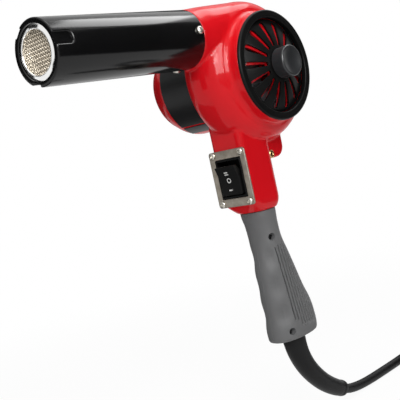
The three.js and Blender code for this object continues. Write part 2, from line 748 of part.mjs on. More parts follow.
function domeArc(fromRadius, toRadius, offset) {
  const steps = 3;
  return Array.from({ length: steps + 1 }, (_, i) => {
    const radius = fromRadius + ((toRadius - fromRadius) * i) / steps;
    return [radius, domeY(radius) + offset];
  });
}

// A tapered slot with round ends, drawn along X
function slotShape() {
  const [inner, outer] = [SLOT_INNER_WIDTH / 2, SLOT_OUTER_WIDTH / 2];
  const shape = new THREE.Shape();
  shape.absarc(SLOT_OUTER_RADIUS - outer, 0, outer, -Math.PI / 2, Math.PI / 2);
  shape.absarc(SLOT_INNER_RADIUS + inner, 0, inner, Math.PI / 2, 1.5 * Math.PI);
  return shape;
}

function slots(turn) {
  const [fromY, toY] = [ringFrontY - DAMPER_RISE - SLOT_CUT_PAST, grilleSeatY];
  return Array.from({ length: SLOT_COUNT }, (_, i) => {
    const angle = (i * 360) / SLOT_COUNT + turn;
    return extrudedAlongY(slotShape(), fromY, toY, 2).rotateY(angle * DEG);
  });
}

const grilleHubRadius = SPINDLE_HEAD_RADIUS + 1;
const grilleHubY = domeY(grilleHubRadius) + grilleGap + GRILLE_THICKNESS;

function intakeGrille() {
  const rim = collarBore - SEAT_GAP;
  const lip = damperRadius - 1;
  const profile = [
    ...domeArc(boreGap, lip, grilleGap),
    [lip, damperRimY + grilleGap],
    [rim, damperRimY + grilleGap],
    [rim, grilleSeatY - SEAT_GAP],
    [intakeRadius + SEAT_GAP, grilleSeatY - SEAT_GAP],
    ...domeArc(lip - GRILLE_THICKNESS, grilleHubRadius, grilleGap + GRILLE_THICKNESS),
    [boreGap, grilleHubY],
  ];
  return cut(solidOf(turned(profile, WIDE_SIDES)), ...slots(0));
}

function airDamper() {
  const hubEndY = domeY(0) - HUB_LENGTH;
  const profile = [
    [boreGap, hubEndY],
    [HUB_RADIUS, hubEndY],
    ...domeArc(HUB_RADIUS, damperRadius, 0),
    ...domeArc(damperRadius, boreGap, DAMPER_THICKNESS),
  ];
  return cut(solidOf(turned(profile, WIDE_SIDES)), ...slots(DAMPER_REST_TURN));
}

function intakeRing() {
  const inner = damperRadius + RUN_GAP;
  const edge = RING_EDGE;
  const profile = [
    [inner, ringBackY],
    [inner, ringFrontY + edge / 2],
    [inner + edge / 2, ringFrontY],
    [RING_RADIUS - edge, ringFrontY],
    [RING_RADIUS - edge * 0.3, ringFrontY + edge * 0.3],
    [RING_RADIUS, ringFrontY + edge],
    [RING_RADIUS, ringBackY],
  ];
  return turned(profile, WIDE_SIDES);
}

function damperKnob() {
  const backY = domeY(0) - SEAT_GAP;
  const faceY = backY - KNOB_LENGTH;
  const socketY = domeY(0) - HUB_LENGTH - SEAT_GAP;
  const socket = HUB_RADIUS + SEAT_GAP;
  const profile = [
    [0, faceY + KNOB_DISH],
    [KNOB_RADIUS * 0.45, faceY + KNOB_DISH * 0.75],
    [KNOB_RADIUS - 2 * KNOB_EDGE, faceY],
    [KNOB_RADIUS - 0.3 * KNOB_EDGE, faceY + 0.3 * KNOB_EDGE],
    [KNOB_RADIUS, faceY + KNOB_EDGE],
    [KNOB_RADIUS, backY],
    [socket, backY],
    [socket, socketY],
    [0, socketY],
  ];
  return turned(profile, ROUND_SIDES);
}

function damperSpindle() {
  const headY = grilleHubY + SEAT_GAP;
  const endY = domeY(0) - HUB_LENGTH + RUN_GAP;
  const profile = [
    [0, headY + SPINDLE_HEAD],
    [SPINDLE_HEAD_RADIUS, headY + SPINDLE_HEAD],
    [SPINDLE_HEAD_RADIUS, headY],
    [SPINDLE_RADIUS, headY],
    [SPINDLE_RADIUS, endY],
    [0, endY],
  ];
  return turned(profile, SMALL_SIDES);
}

piece("blower_housing", blowerHousing(), "redPaint");
piece("intake_grille", intakeGrille(), "redPaint");
piece("intake_ring", intakeRing(), "blackPlastic");
piece("air_damper", airDamper(), "blackPlastic");
piece("damper_knob", damperKnob(), "knobPlastic");
piece("damper_spindle", damperSpindle(), "zinc");

// Barrel with its inward rim, keyways for nozzles and screw holes
function barrel() {
  const profile = [
    [barrelRearX, barrelBore],
    [barrelRearX, BARREL_RADIUS],
    [barrelFrontX, BARREL_RADIUS],
    [barrelFrontX, rimOpening],
    [barrelFrontX + BARREL_WALL, rimOpening],
    [barrelFrontX + BARREL_WALL, barrelBore],
  ].map(([x, radius]) => [radius, x]);
  const tube = solidOf(turnedAboutX(profile, WIDE_SIDES).translate(0, 0, BARREL_RISE));
  const keyways = keywayAngles().map((angle) => keyway(0, angle));
  const holes = barrelScrewAngles().map((angle) => {
    return barrelHole(BARREL_SCREW.shank + SEAT_GAP, barrelBore - 1, BARREL_RADIUS + 1, angle);
  });
  const pressed = keywayAngles().map((angle) => solidOf(keyway(BARREL_WALL, angle)));
  const whole = pressed.reduce((sum, dent) => sum.add(dent), tube);
  return cut(whole, ...keyways, ...holes);
}

function keywayAngles() {
  return Array.from({ length: KEYWAY_COUNT }, (_, i) => KEYWAY_FIRST_ANGLE + (i * 360) / KEYWAY_COUNT);
}

// The pressed channel at the rim: a round-ended bar under the barrel's surface, grown by a wall
function keyway(wall, angle) {
  const half = KEYWAY_WIDTH / 2 + wall;
  const front = barrelFrontX - (wall > 0 ? 0 : 1);
  const end = barrelFrontX + KEYWAY_LENGTH - KEYWAY_WIDTH / 2;
  const shape = new THREE.Shape();
  shape.moveTo(front, half);
  shape.lineTo(front, -half);
  shape.absarc(end, 0, half, -Math.PI / 2, Math.PI / 2);
  const floor = BARREL_RADIUS - KEYWAY_DEPTH - wall;
  const top = wall > 0 ? Math.sqrt(BARREL_RADIUS ** 2 - half ** 2) - 0.05 : BARREL_RADIUS + 2;
  return aroundBarrel(extrudedAlongY(shape, -top, -floor, 5), angle);
}

const mouthRingFrontX = barrelFrontX + BARREL_WALL + SEAT_GAP;
const mouthRingBackX = mouthRingFrontX + MOUTH_RING_DEPTH;
const linerFrontX = mouthRingBackX + SEAT_GAP;
const linerRearX = spigotEndX - SEAT_GAP;

// Polished ring inside the rim: a flange behind it and a round bead in its opening
function mouthRing() {
  const edge = rimOpening - RUN_GAP;
  const crestX = mouthRingFrontX - MOUTH_RING_BEAD;
  const profile = [
    [mouthRingFrontX, linerRadius],
    [mouthRingFrontX, edge],
    [crestX, edge - MOUTH_RING_BEAD],
    [crestX, (edge + mouthRingBore) / 2],
    [mouthRingFrontX + MOUTH_RING_BEAD / 3, mouthRingBore],
    [mouthRingBackX, mouthRingBore],
    [mouthRingBackX, linerRadius],
  ].map(([x, radius]) => [radius, x]);
  return turnedAboutX(profile, WIDE_SIDES);
}

function outletScreen() {
  const radius = linerBore - SEAT_GAP;
  const disc = turnedAboutX(rodProfile(radius, linerFrontX, linerFrontX + SCREEN_THICKNESS), ROUND_SIDES);
  const reach = Math.ceil(radius / SCREEN_PITCH);
  const half = SCREEN_HOLE / 2;
  const holes = [];
  for (let row = -reach; row <= reach; row += 1) {
    for (let column = -reach; column <= reach; column += 1) {
      const [y, z] = [row * SCREEN_PITCH, column * SCREEN_PITCH];
      if (Math.hypot(y, z) > mouthRingBore) continue;
      const hole = block(
        [linerFrontX - 1, y - half, z - half],
        [linerFrontX + SCREEN_THICKNESS + 1, y + half, z + half],
      );
      holes.push(hole.rotateX(Math.PI / 4));
    }
  }
  return cut(solidOf(disc), ...holes);
}

const heaterFrontX = linerFrontX + SCREEN_THICKNESS + HEATER_FRONT_INSET;
const heaterRearX = heaterFrontX + HEATER_LENGTH;

// Crossed cards between two spoked ends that stand in the liner
function heaterFormer() {
  const rim = linerBore - SEAT_GAP;
  const half = HEATER_CARD / 2;
  const ends = [heaterFrontX, heaterRearX - HEATER_END_THICKNESS].flatMap((x) => {
    const to = x + HEATER_END_THICKNESS;
    return [
      turnedAboutX(tubeProfile(rim - HEATER_END_RIM, rim, x, to), ROUND_SIDES),
      block([x, -half, -rim + 1], [to, half, rim - 1]),
      block([x, -rim + 1, -half], [to, rim - 1, half]),
    ];
  });
  const reach = HEATER_CORE_RADIUS;
  return joined(
    block([heaterFrontX, -half, -reach], [heaterRearX, half, reach]),
    block([heaterFrontX, -reach, -half], [heaterRearX, reach, half]),
    ...ends,
  );
}

function heaterCoil() {
  const steps = 10;
  const radius = HEATER_CORE_RADIUS + SEAT_GAP + HEATER_WIRE_RADIUS;
  const margin = HEATER_END_THICKNESS + SEAT_GAP + 2 * HEATER_WIRE_RADIUS;
  const [from, to] = [heaterFrontX + margin, heaterRearX - margin];
  const count = HEATER_TURNS * steps;
  const points = Array.from({ length: count + 1 }, (_, i) => {
    const turn = (i / steps) * 2 * Math.PI;
    const x = from + ((to - from) * i) / count;
    const flat = radius / Math.cos(Math.PI / steps);
    return new THREE.Vector3(x, flat * Math.cos(turn), flat * Math.sin(turn));
  });
  const gap = leastSelfGap(points, HEATER_WIRE_RADIUS, radius * Math.PI);
  console.log(`heater coil: least gap to itself ${gap.toFixed(2)} mm`);
  return roundTube(points, HEATER_WIRE_RADIUS, 5, new THREE.Vector3(1, 0, 0));
}

function onBarrelAxis(mesh) {
  mesh.position.z = BARREL_RISE;
}

piece("barrel", barrel(), "blackEnamel");
onBarrelAxis(piece("mouth_ring", mouthRing(), "polished"));
onBarrelAxis(piece("outlet_screen", outletScreen(), "wire"));
onBarrelAxis(piece(
  "heat_liner",
  turnedAboutX(tubeProfile(linerBore, linerRadius, linerFrontX, linerRearX), ROUND_SIDES),
  "steel",
));
onBarrelAxis(piece("heater_former", heaterFormer(), "mica"));
onBarrelAxis(piece("heater_coil", heaterCoil(), "wire"));
barrelScrewAngles().forEach((angle, i) => {
  const screw = screwGeometry(BARREL_SCREW).translate(0, -BARREL_RADIUS - SEAT_GAP, 0);
  const mesh = piece(`barrel_screw_${i + 1}`, screw, "zinc");
  mesh.position.set(barrelRearX - BARREL_SCREW_INSET, 0, BARREL_RISE);
  mesh.rotation.x = -angle * DEG;
});

// Motor drum: an open cup with a tapered end, vents in it, a bearing pocket and screws
const drumInnerEndY = drumEndY - DRUM_END_WALL;
const drumInnerShoulderY = drumShoulderY - DRUM_WALL / 2;
const rearBearingY = drumInnerEndY - BEARING_LENGTH;

// Inner radius of the drum along its length
function drumBoreAt(y) {
  const share = (y - drumInnerShoulderY) / (drumInnerEndY - drumInnerShoulderY);
  return drumBore + (drumEndBore - drumBore) * Math.max(share, 0);
}

function coverScrewPlaces() {
  return Array.from({ length: COVER_SCREW_COUNT }, (_, i) => {
    const turn = (i * 2 * Math.PI) / COVER_SCREW_COUNT;
    return [COVER_SCREW_CIRCLE * Math.cos(turn), -COVER_SCREW_CIRCLE * Math.sin(turn)];
  });
}

function motorCover() {
  const shell = [
    [0, drumStartY],
    [DRUM_RADIUS, drumStartY],
    [DRUM_RADIUS, drumShoulderY],
    [DRUM_END_RADIUS, drumEndY],
    [0, drumEndY],
  ];
  const hollow = [
    [0, drumStartY - 1],
    [drumBore, drumStartY - 1],
    [drumBore, drumInnerShoulderY],
    [drumEndBore, drumInnerEndY],
    [0, drumInnerEndY],
  ];
  const vents = Array.from({ length: VENT_COUNT }, (_, i) => {
    const half = VENT_WIDTH / 2;
    const slot = block(
      [VENT_INNER_RADIUS, drumInnerEndY - 1, -half],
      [VENT_OUTER_RADIUS, drumEndY + 1, half],
    );
    return slot.rotateY(((i + 0.5) * 2 * Math.PI) / VENT_COUNT);
  });
  const screwHoles = coverScrewPlaces().flatMap(([x, z]) => {
    const hole = rodProfile(COVER_SCREW.shank + SEAT_GAP, drumInnerEndY - 1, drumEndY + 1);
    const well = rodProfile(COVER_SCREW.head + 2 * SEAT_GAP, drumEndY - COVER_SCREW_WELL, drumEndY + 1);
    return [hole, well].map((profile) => turned(profile, SCREW_SIDES).translate(x, 0, z));
  });
  const boss = rodProfile(BEARING_BOSS_RADIUS, rearBearingY, drumEndY - 1);
  const pocket = rodProfile(BEARING_RADIUS + SEAT_GAP, rearBearingY - 1, drumInnerEndY + SEAT_GAP);
  const cup = cut(solidOf(turned(shell, WIDE_SIDES)), turned(hollow, WIDE_SIDES));
  const whole = cup.add(solidOf(turned(boss, ROUND_SIDES)));
  return cut(whole, turned(pocket, ROUND_SIDES), ...vents, ...screwHoles);
}

function ratingBand([fromAngle, toAngle]) {
  const inner = DRUM_RADIUS + SEAT_GAP;
  const fromY = drumStartY + BAND_START;
  const segments = Math.ceil((toAngle - fromAngle) / 6);
  const shape = ringSector(inner, inner + BAND_THICKNESS, fromAngle, toAngle);
  return extrudedAlongY(shape, fromY, fromY + BAND_WIDTH, segments / 2);
}

piece("motor_cover", motorCover(), "redPaint");
Object.entries(BAND_SWEEPS).forEach(([name, sweep]) => piece(name, ratingBand(sweep), "bandFilm"));
coverScrewPlaces().forEach(([x, z], i) => {
  const mesh = piece(`cover_screw_${i + 1}`, screwGeometry(COVER_SCREW).rotateX(Math.PI), "zinc");
  mesh.position.set(x, drumEndY - COVER_SCREW_WELL + SEAT_GAP, z);
});

// Motor: stator and field coils in the drum, armature and commutator on the shaft
const stackStartY = drumStartY + STACK_SETBACK;
const stackEndY = stackStartY + STACK_LENGTH;
const statorRadius = drumBore - SEAT_GAP;
const yokeBore = statorRadius - YOKE_THICKNESS;
const shoeBore = ARMATURE_RADIUS + AIR_GAP;
const shoeRadius = shoeBore + SHOE_THICKNESS;
const POLE_ANGLES = [90, 270];

function motorStator() {
  const overlap = 0.5;
  const poles = POLE_ANGLES.flatMap((middle) => [
    ringSector(shoeBore, shoeRadius, middle - SHOE_HALF_ANGLE, middle + SHOE_HALF_ANGLE),
    ringSector(shoeRadius - overlap, yokeBore + overlap, middle - POLE_HALF_ANGLE, middle + POLE_HALF_ANGLE),
  ]);
  const yoke = turned(tubeProfile(yokeBore, statorRadius, stackStartY, stackEndY), ROUND_SIDES);
  return joined(yoke, ...poles.map((shape) => extrudedAlongY(shape, stackStartY, stackEndY, 8)));
}

function fieldCoil(middle) {
  const [inner, outer] = [shoeRadius + SEAT_GAP, yokeBore * Math.cos(Math.PI / ROUND_SIDES) - SEAT_GAP];
  const half = FIELD_COIL_HALF_ANGLE;
  const window = POLE_HALF_ANGLE + (SEAT_GAP / inner) / DEG + 0.5;
  const loop = extrudedAlongY(
    ringSector(inner, outer, middle - half, middle + half),
    stackStartY - FIELD_COIL_OVERHANG,
    stackEndY + FIELD_COIL_OVERHANG,
    8,
  );
  const opening = extrudedAlongY(
    ringSector(inner - 1, outer + 1, middle - window, middle + window),
    stackStartY - SEAT_GAP,
    stackEndY + SEAT_GAP,
    8,
  );
  return cut(solidOf(loop), opening);
}

const shaftBore = SHAFT_RADIUS + SEAT_GAP;
const frontBearingY = SCROLL_BACK_Y + BEARING_BOSS_LENGTH - BEARING_LENGTH;
const shaftEndY = rearBearingY + BEARING_LENGTH - RUN_GAP;

function armatureCore() {
  const floor = ARMATURE_RADIUS - ARMATURE_SLOT_DEPTH;
  const half = ARMATURE_SLOT_WIDTH / 2;
  const [outerHalf, innerHalf] = [Math.asin(half / ARMATURE_RADIUS), Math.asin(half / floor)];
  const place = (radius, angle) => new THREE.Vector2(radius * Math.cos(angle), radius * Math.sin(angle));
  const corners = Array.from({ length: ARMATURE_SLOTS }, (_, i) => {
    const turn = (i * 2 * Math.PI) / ARMATURE_SLOTS;
    return [
      place(ARMATURE_RADIUS, turn - outerHalf),
      place(floor, turn - innerHalf),
      place(floor, turn + innerHalf),
      place(ARMATURE_RADIUS, turn + outerHalf),
      place(ARMATURE_RADIUS, turn + Math.PI / ARMATURE_SLOTS),
    ];
  });
  const bore = turned(rodProfile(shaftBore, stackStartY - 1, stackEndY + 1), SMALL_SIDES);
  return cut(solidOf(extrudedAlongY(new THREE.Shape(corners.flat()), stackStartY, stackEndY)), bore);
}

const windingFrontY = stackStartY - SEAT_GAP - WINDING_LENGTH;
const windingRearY = stackEndY + SEAT_GAP;
const commutatorY = windingRearY + WINDING_LENGTH + SEAT_GAP;

function windingRing(fromY) {
  const edge = 1.5;
  const toY = fromY + WINDING_LENGTH;
  const profile = [
    [shaftBore, fromY],
    [WINDING_RADIUS - edge, fromY],
    [WINDING_RADIUS, fromY + edge],
    [WINDING_RADIUS, toY - edge],
    [WINDING_RADIUS - edge, toY],
    [shaftBore, toY],
  ];
  return turned(profile, SMALL_SIDES);
}

const brushY = commutatorY + COMMUTATOR_LENGTH / 2;
const brushStart = COMMUTATOR_RADIUS + SEAT_GAP;
const holderWidth = BRUSH_WIDTH + 2 * (SEAT_GAP + BRUSH_HOLDER_WALL);
const holderDepth = BRUSH_DEPTH + 2 * (SEAT_GAP + BRUSH_HOLDER_WALL);
const holderStart = WINDING_RADIUS + 2 * RUN_GAP;
const holderReach = drumBoreAt(brushY + holderDepth / 2) * Math.cos(Math.PI / WIDE_SIDES) - SEAT_GAP;
const holderEnd = Math.sqrt(holderReach ** 2 - (holderWidth / 2) ** 2);

function brushHolder() {
  const bore = [BRUSH_DEPTH / 2 + SEAT_GAP, BRUSH_WIDTH / 2 + SEAT_GAP];
  const box = block(
    [holderStart, brushY - holderDepth / 2, -holderWidth / 2],
    [holderEnd, brushY + holderDepth / 2, holderWidth / 2],
  );
  const slot = block(
    [holderStart - 1, brushY - bore[0], -bore[1]],
    [holderEnd + 1, brushY + bore[0], bore[1]],
  );
  return geometryOf(cut(solidOf(box), slot));
}

function carbonBrush() {
  return block(
    [brushStart, brushY - BRUSH_DEPTH / 2, -BRUSH_WIDTH / 2],
    [brushStart + BRUSH_LENGTH, brushY + BRUSH_DEPTH / 2, BRUSH_WIDTH / 2],
  );
}

function bearing(fromY) {
  return turned(tubeProfile(shaftBore, BEARING_RADIUS, fromY, fromY + BEARING_LENGTH), SMALL_SIDES);
}

piece("motor_stator", motorStator(), "steel");
piece("field_coil_upper", fieldCoil(POLE_ANGLES[0]), "copper");
piece("field_coil_lower", fieldCoil(POLE_ANGLES[1]), "copper");
piece("front_bearing", bearing(frontBearingY), "steel");
piece("rear_bearing", bearing(rearBearingY), "steel");
["front", "rear"].forEach((place, i) => {
  piece(`brush_holder_${place}`, brushHolder().rotateY(i * Math.PI), "brass");
  piece(`carbon_brush_${place}`, carbonBrush().rotateY(i * Math.PI), "carbon");
});
piece("armature_core", armatureCore(), "steel");
piece("armature_winding_front", windingRing(windingFrontY), "copper");
piece("armature_winding_rear", windingRing(windingRearY), "copper");
const commutatorEndY = commutatorY + COMMUTATOR_LENGTH;
const commutatorProfile = tubeProfile(shaftBore, COMMUTATOR_RADIUS, commutatorY, commutatorEndY);
piece("commutator", turned(commutatorProfile, SMALL_SIDES), "copper");

// Fan on the shaft's front end, with its nut
const fanBackY = SCROLL_BACK_Y - HOUSING_WALL - FAN_BACK_GAP;
const fanHubFrontY = fanBackY - FAN_HUB_LENGTH;

function fanImpeller() {
  const frontY = fanBackY - FAN_WIDTH;
  const back = [
    [shaftBore, fanBackY],
    [shaftBore, fanHubFrontY],
    [FAN_HUB_RADIUS, fanHubFrontY],
    [FAN_HUB_RADIUS, fanBackY - FAN_PLATE],
    [FAN_RADIUS, fanBackY - FAN_PLATE],
    [FAN_RADIUS, fanBackY],
  ];
  const rim = tubeProfile(FAN_RADIUS - FAN_RIM, FAN_RADIUS, frontY, frontY + FAN_PLATE);
  const middle = (FAN_EYE_RADIUS + FAN_RADIUS) / 2;
  const chord = FAN_RADIUS - FAN_EYE_RADIUS - 1;
  const blades = Array.from({ length: FAN_BLADES }, (_, i) => {
    const half = FAN_BLADE_THICKNESS / 2;
    const blade = block([-chord / 2, frontY + 0.5, -half], [chord / 2, fanBackY - 0.5, half]);
    return blade.rotateY(FAN_BLADE_ANGLE * DEG).translate(middle, 0, 0)
      .rotateY((i * 2 * Math.PI) / FAN_BLADES);
  });
  return joined(turned(back, ROUND_SIDES), turned(rim, ROUND_SIDES), ...blades);
}

const fanNutFrontY = fanHubFrontY - SEAT_GAP - FAN_NUT_LENGTH;

function fanNut() {
  const hexagon = turned(rodProfile(FAN_NUT_RADIUS, fanNutFrontY, fanHubFrontY - SEAT_GAP), 6);
  return cut(solidOf(hexagon), turned(rodProfile(shaftBore, fanNutFrontY - 1, fanHubFrontY), SMALL_SIDES));
}

piece("fan_impeller", fanImpeller(), "fanMetal");
piece("fan_nut", fanNut(), "zinc");
const shaftProfile = rodProfile(SHAFT_RADIUS, fanNutFrontY - SHAFT_FAN_REACH, shaftEndY);
piece("motor_shaft", turned(shaftProfile, SMALL_SIDES), "steel");

// Switch plate, its screws, the switch body and its rocker
function switchPlate() {
  const plate = extrudedAlongX(
    roundedRectangle(PLATE_WIDTH, PLATE_HEIGHT, PLATE_CORNER),
    plateFrontX,
    plateFrontX + PLATE_THICKNESS,
    3,
  );
  const half = [SWITCH_WIDTH / 2 + SEAT_GAP, SWITCH_HEIGHT / 2 + SEAT_GAP];
  const window = block(
    [plateFrontX - 1, -half[0], -half[1]],
    [plateFrontX + PLATE_THICKNESS + 1, half[0], half[1]],
  );
  const holes = plateScrewPlaces().map(([y, z]) => {
    const endX = plateFrontX + PLATE_THICKNESS + 1;
    const hole = rodProfile(PLATE_SCREW.shank + SEAT_GAP, plateFrontX - 1, endX);
    return turnedAboutX(hole, SCREW_SIDES).translate(0, y, z);
  });
  return cut(solidOf(plate), window, ...holes);
}

const rockerPivotX = plateFrontX - ROCKER_PROUD + ROCKER_DEPTH;

function switchBody() {
  const half = [SWITCH_WIDTH / 2, SWITCH_HEIGHT / 2];
  const well = [ROCKER_WIDTH / 2 + ROCKER_SIDE_GAP, ROCKER_HEIGHT / 2 + ROCKER_END_GAP];
  const body = block([plateFrontX, -half[0], -half[1]], [plateFrontX + SWITCH_DEPTH, half[0], half[1]]);
  const hollow = block(
    [plateFrontX - 1, -well[0], -well[1]],
    [plateFrontX + ROCKER_WELL_DEPTH, well[0], well[1]],
  );
  const pin = turned(rodProfile(ROCKER_PIN_RADIUS, -half[0] + 1, half[0] - 1), SCREW_SIDES)
    .translate(rockerPivotX, 0, 0);
  return cut(solidOf(body), hollow).add(solidOf(pin));
}

// The rocker's side outline round its pivot: a valley between two raised ends and a round back
function switchRocker() {
  const half = ROCKER_HEIGHT / 2;
  const face = -ROCKER_DEPTH;
  const shape = new THREE.Shape();
  shape.moveTo(face, half);
  shape.lineTo(face + ROCKER_VALLEY, 0);
  shape.lineTo(face, -half);
  shape.lineTo(face + ROCKER_EDGE, -half);
  shape.absarc(0, 0, ROCKER_BACK_RADIUS, -0.62 * Math.PI, 0.62 * Math.PI);
  shape.lineTo(face + ROCKER_EDGE, half);
  const body = extrudedAlongY(shape, -ROCKER_WIDTH / 2, ROCKER_WIDTH / 2, 8);
  const bore = turned(rodProfile(ROCKER_PIN_RADIUS + SEAT_GAP, -ROCKER_WIDTH, ROCKER_WIDTH), SCREW_SIDES);
  return cut(solidOf(body), bore);
}

piece("switch_plate", switchPlate(), "nickel").position.z = PLATE_Z;
plateScrewPlaces().forEach(([y, z], i) => {
  const screw = screwGeometry(PLATE_SCREW).rotateZ(-Math.PI / 2);
  piece(`plate_screw_${i + 1}`, screw, "zinc").position.set(plateFrontX - SEAT_GAP, y, PLATE_Z + z);
});
piece("switch_body", switchBody(), "blackPlastic").position.z = PLATE_Z;
const rocker = piece("switch_rocker", switchRocker(), "blackPlastic");
rocker.position.set(rockerPivotX, 0, PLATE_Z);
rocker.rotation.y = -ROCKER_REST_TILT * DEG;

// Hollow rivet in the rear lug
function lugRivet() {
  const [face, edge] = [LUG_HALF_WIDTH + SEAT_GAP, LUG_HALF_WIDTH + SEAT_GAP + RIVET_FLANGE];
  const profile = [
    [RIVET_BORE, -edge],
    [RIVET_FLANGE_RADIUS, -edge],
    [RIVET_FLANGE_RADIUS, -face],
    [RIVET_RADIUS, -face],
    [RIVET_RADIUS, face],
    [RIVET_FLANGE_RADIUS, face],
    [RIVET_FLANGE_RADIUS, edge],
    [RIVET_BORE, edge],
  ];
  return turned(profile, SMALL_SIDES);
}

piece("lug_rivet", lugRivet(), "brass").position.set(RIVET_X, 0, RIVET_Z);

// Grip halves, split on the middle plane, with a tang in the neck and bosses for two screws
function gripRing(drop, front, back, half) {
  const count = 20;
  const power = 2 / GRIP_SQUARENESS;
  const middle = (front + back) / 2;
  const deep = (back - front) / 2;
  return Array.from({ length: count }, (_, k) => {
    const turn = ((k + 0.5) / count) * 2 * Math.PI;
    const [c, s] = [Math.cos(turn), Math.sin(turn)];
    const x = middle + deep * Math.sign(c) * Math.abs(c) ** power;
    const y = half * Math.sign(s) * Math.abs(s) ** power;
    return new THREE.Vector3(x, y, gripTopZ - drop);
  });
}

function gripShell() {
  const outer = GRIP_STATIONS.map((station) => gripRing(...station));
  const bottomDrop = GRIP_STATIONS.at(-1)[0];
  const inner = GRIP_STATIONS.filter(([drop]) => drop > GRIP_TOP_WALL && drop < bottomDrop - GRIP_END_WALL)
    .map(([drop, front, back, half]) => {
      return gripRing(drop, front + GRIP_WALL, back - GRIP_WALL, half - GRIP_WALL);
    });
  const tang = turnedAboutZ(rodProfile(TANG_RADIUS, gripTopZ - 1, gripTopZ + TANG_LENGTH), ROUND_SIDES)
    .translate(gripAxisX(), 0, 0);
  const wireWay = turnedAboutZ(
    rodProfile(TANG_RADIUS - GRIP_WALL, gripTopZ - 2 * GRIP_TOP_WALL, gripTopZ + TANG_LENGTH + 1),
    ROUND_SIDES,
  ).translate(gripAxisX(), 0, 0);
  const leadHole = turnedAboutZ(
    rodProfile(SLEEVE_NECK_RADIUS + SEAT_GAP, gripBottomZ - 1, gripBottomZ + 2 * GRIP_END_WALL),
    ROUND_SIDES,
  ).translate(SLEEVE_X, 0, 0);
  const bosses = GRIP_SCREW_DROPS.map((drop) => {
    return turned(rodProfile(GRIP_BOSS_RADIUS, -GRIP_SCREW_SEAT - 3, GRIP_SCREW_SEAT + 3), SMALL_SIDES)
      .translate(GRIP_SCREW_X, 0, gripTopZ - drop);
  });
  const body = joined(loft(outer), tang);
  const hollow = cut(body, loft(inner), wireWay);
  const whole = hollow.add(joined(...bosses).intersect(body));
  return cut(whole, leadHole, ...GRIP_SCREW_DROPS.flatMap(gripScrewHole));
}

function gripScrewHole(drop) {
  const tipY = GRIP_SCREW.length - GRIP_SCREW_SEAT;
  const shank = rodProfile(GRIP_SCREW.shank + SEAT_GAP, -GRIP_SCREW_SEAT - 1, tipY + 1);
  const well = rodProfile(GRIP_SCREW_HOLE_RADIUS, -3 * GRIP_SCREW_SEAT, -GRIP_SCREW_SEAT);
  return [shank, well].map((profile) => {
    return turned(profile, SMALL_SIDES).translate(GRIP_SCREW_X, 0, gripTopZ - drop);
  });
}

function gripHalf(side) {
  const reach = 100;
  const edge = GRIP_SPLIT / 2;
  const [low, high] = side < 0 ? [-reach, -edge] : [edge, reach];
  const keep = block([-reach, low, gripBottomZ - reach], [reach, high, gripTopZ + reach]);
  return gripShell().intersect(solidOf(keep));
}

piece("grip_half_intake_side", gripHalf(-1), "greyGrip");
piece("grip_half_motor_side", gripHalf(1), "greyGrip");
GRIP_SCREW_DROPS.forEach((drop, i) => {
  const mesh = piece(`grip_screw_${i + 1}`, screwGeometry(GRIP_SCREW), "steel");
  mesh.position.set(GRIP_SCREW_X, -GRIP_SCREW_SEAT - SEAT_GAP, gripTopZ - drop);
});

// Tapered sleeve on the lead: a neck in the grip's end, then the curved taper and its end bead
function strainRelief() {
  const sides = 12;
  const topZ = gripBottomZ - SEAT_GAP;
  const up = new THREE.Vector3(0, 1, 0);
  const across = new THREE.Vector3(1, 0, 0);
  const flat = (z, radius) => circleRing(new THREE.Vector3(SLEEVE_X, 0, z), across, up, radius, sides);
  const neck = [
    flat(gripBottomZ + SLEEVE_NECK_LENGTH, SLEEVE_NECK_RADIUS),
    flat(topZ, SLEEVE_NECK_RADIUS),
    flat(topZ, SLEEVE_TOP_RADIUS),
  ];
  const route = SLEEVE_ROUTE.map(([x, z]) => new THREE.Vector3(x, 0, z));
  const last = route.length - 1;
  const rings = route.map((point, i) => {
    const along = route[Math.min(i + 1, last)].clone().sub(route[Math.max(i - 1, 0)]).normalize();
    const side = new THREE.Vector3().crossVectors(along, up);
    const taper = SLEEVE_TOP_RADIUS + ((SLEEVE_END_RADIUS - SLEEVE_TOP_RADIUS) * i) / last;
    const bead = i >= last - 1 ? SLEEVE_BEAD : 0;
    return circleRing(point, side, up, taper + bead, sides);
  });
  return loft([...neck, ...rings]);
}

// Free stretch of the lead, chosen point by point from the sleeve to the coil
const LEAD_ROUTE = [
  [51.6, -310.52], [59.5, -313.75], [70, -316.1], [84, -317.7], [100, -318.4], [120, -318.5], [140, -318.4],
  [160, -318.1], [176, -317.6],
];

function leadStretch() {
  const coilEdgeX = COIL_START_X - 2 * LEAD_RADIUS - SEAT_GAP;
  const points = LEAD_ROUTE.map(([x, z]) => new THREE.Vector3(x, 0, z));
  points.push(new THREE.Vector3(coilEdgeX - 4, 0, coilLowZ), new THREE.Vector3(coilEdgeX, 0, coilLowZ));
  const section = new THREE.Shape();
  for (let k = 0; k < LEAD_SIDES; k += 1) {
    const turn = (k / LEAD_SIDES) * 2 * Math.PI;
    const [x, y] = [LEAD_RADIUS * Math.cos(turn), LEAD_RADIUS * Math.sin(turn)];
    if (k === 0) section.moveTo(x, y);
    else section.lineTo(x, y);
  }
  const extrudePath = new THREE.CatmullRomCurve3(points);
  return new THREE.ExtrudeGeometry(section, { steps: 10, bevelEnabled: false, extrudePath });
}

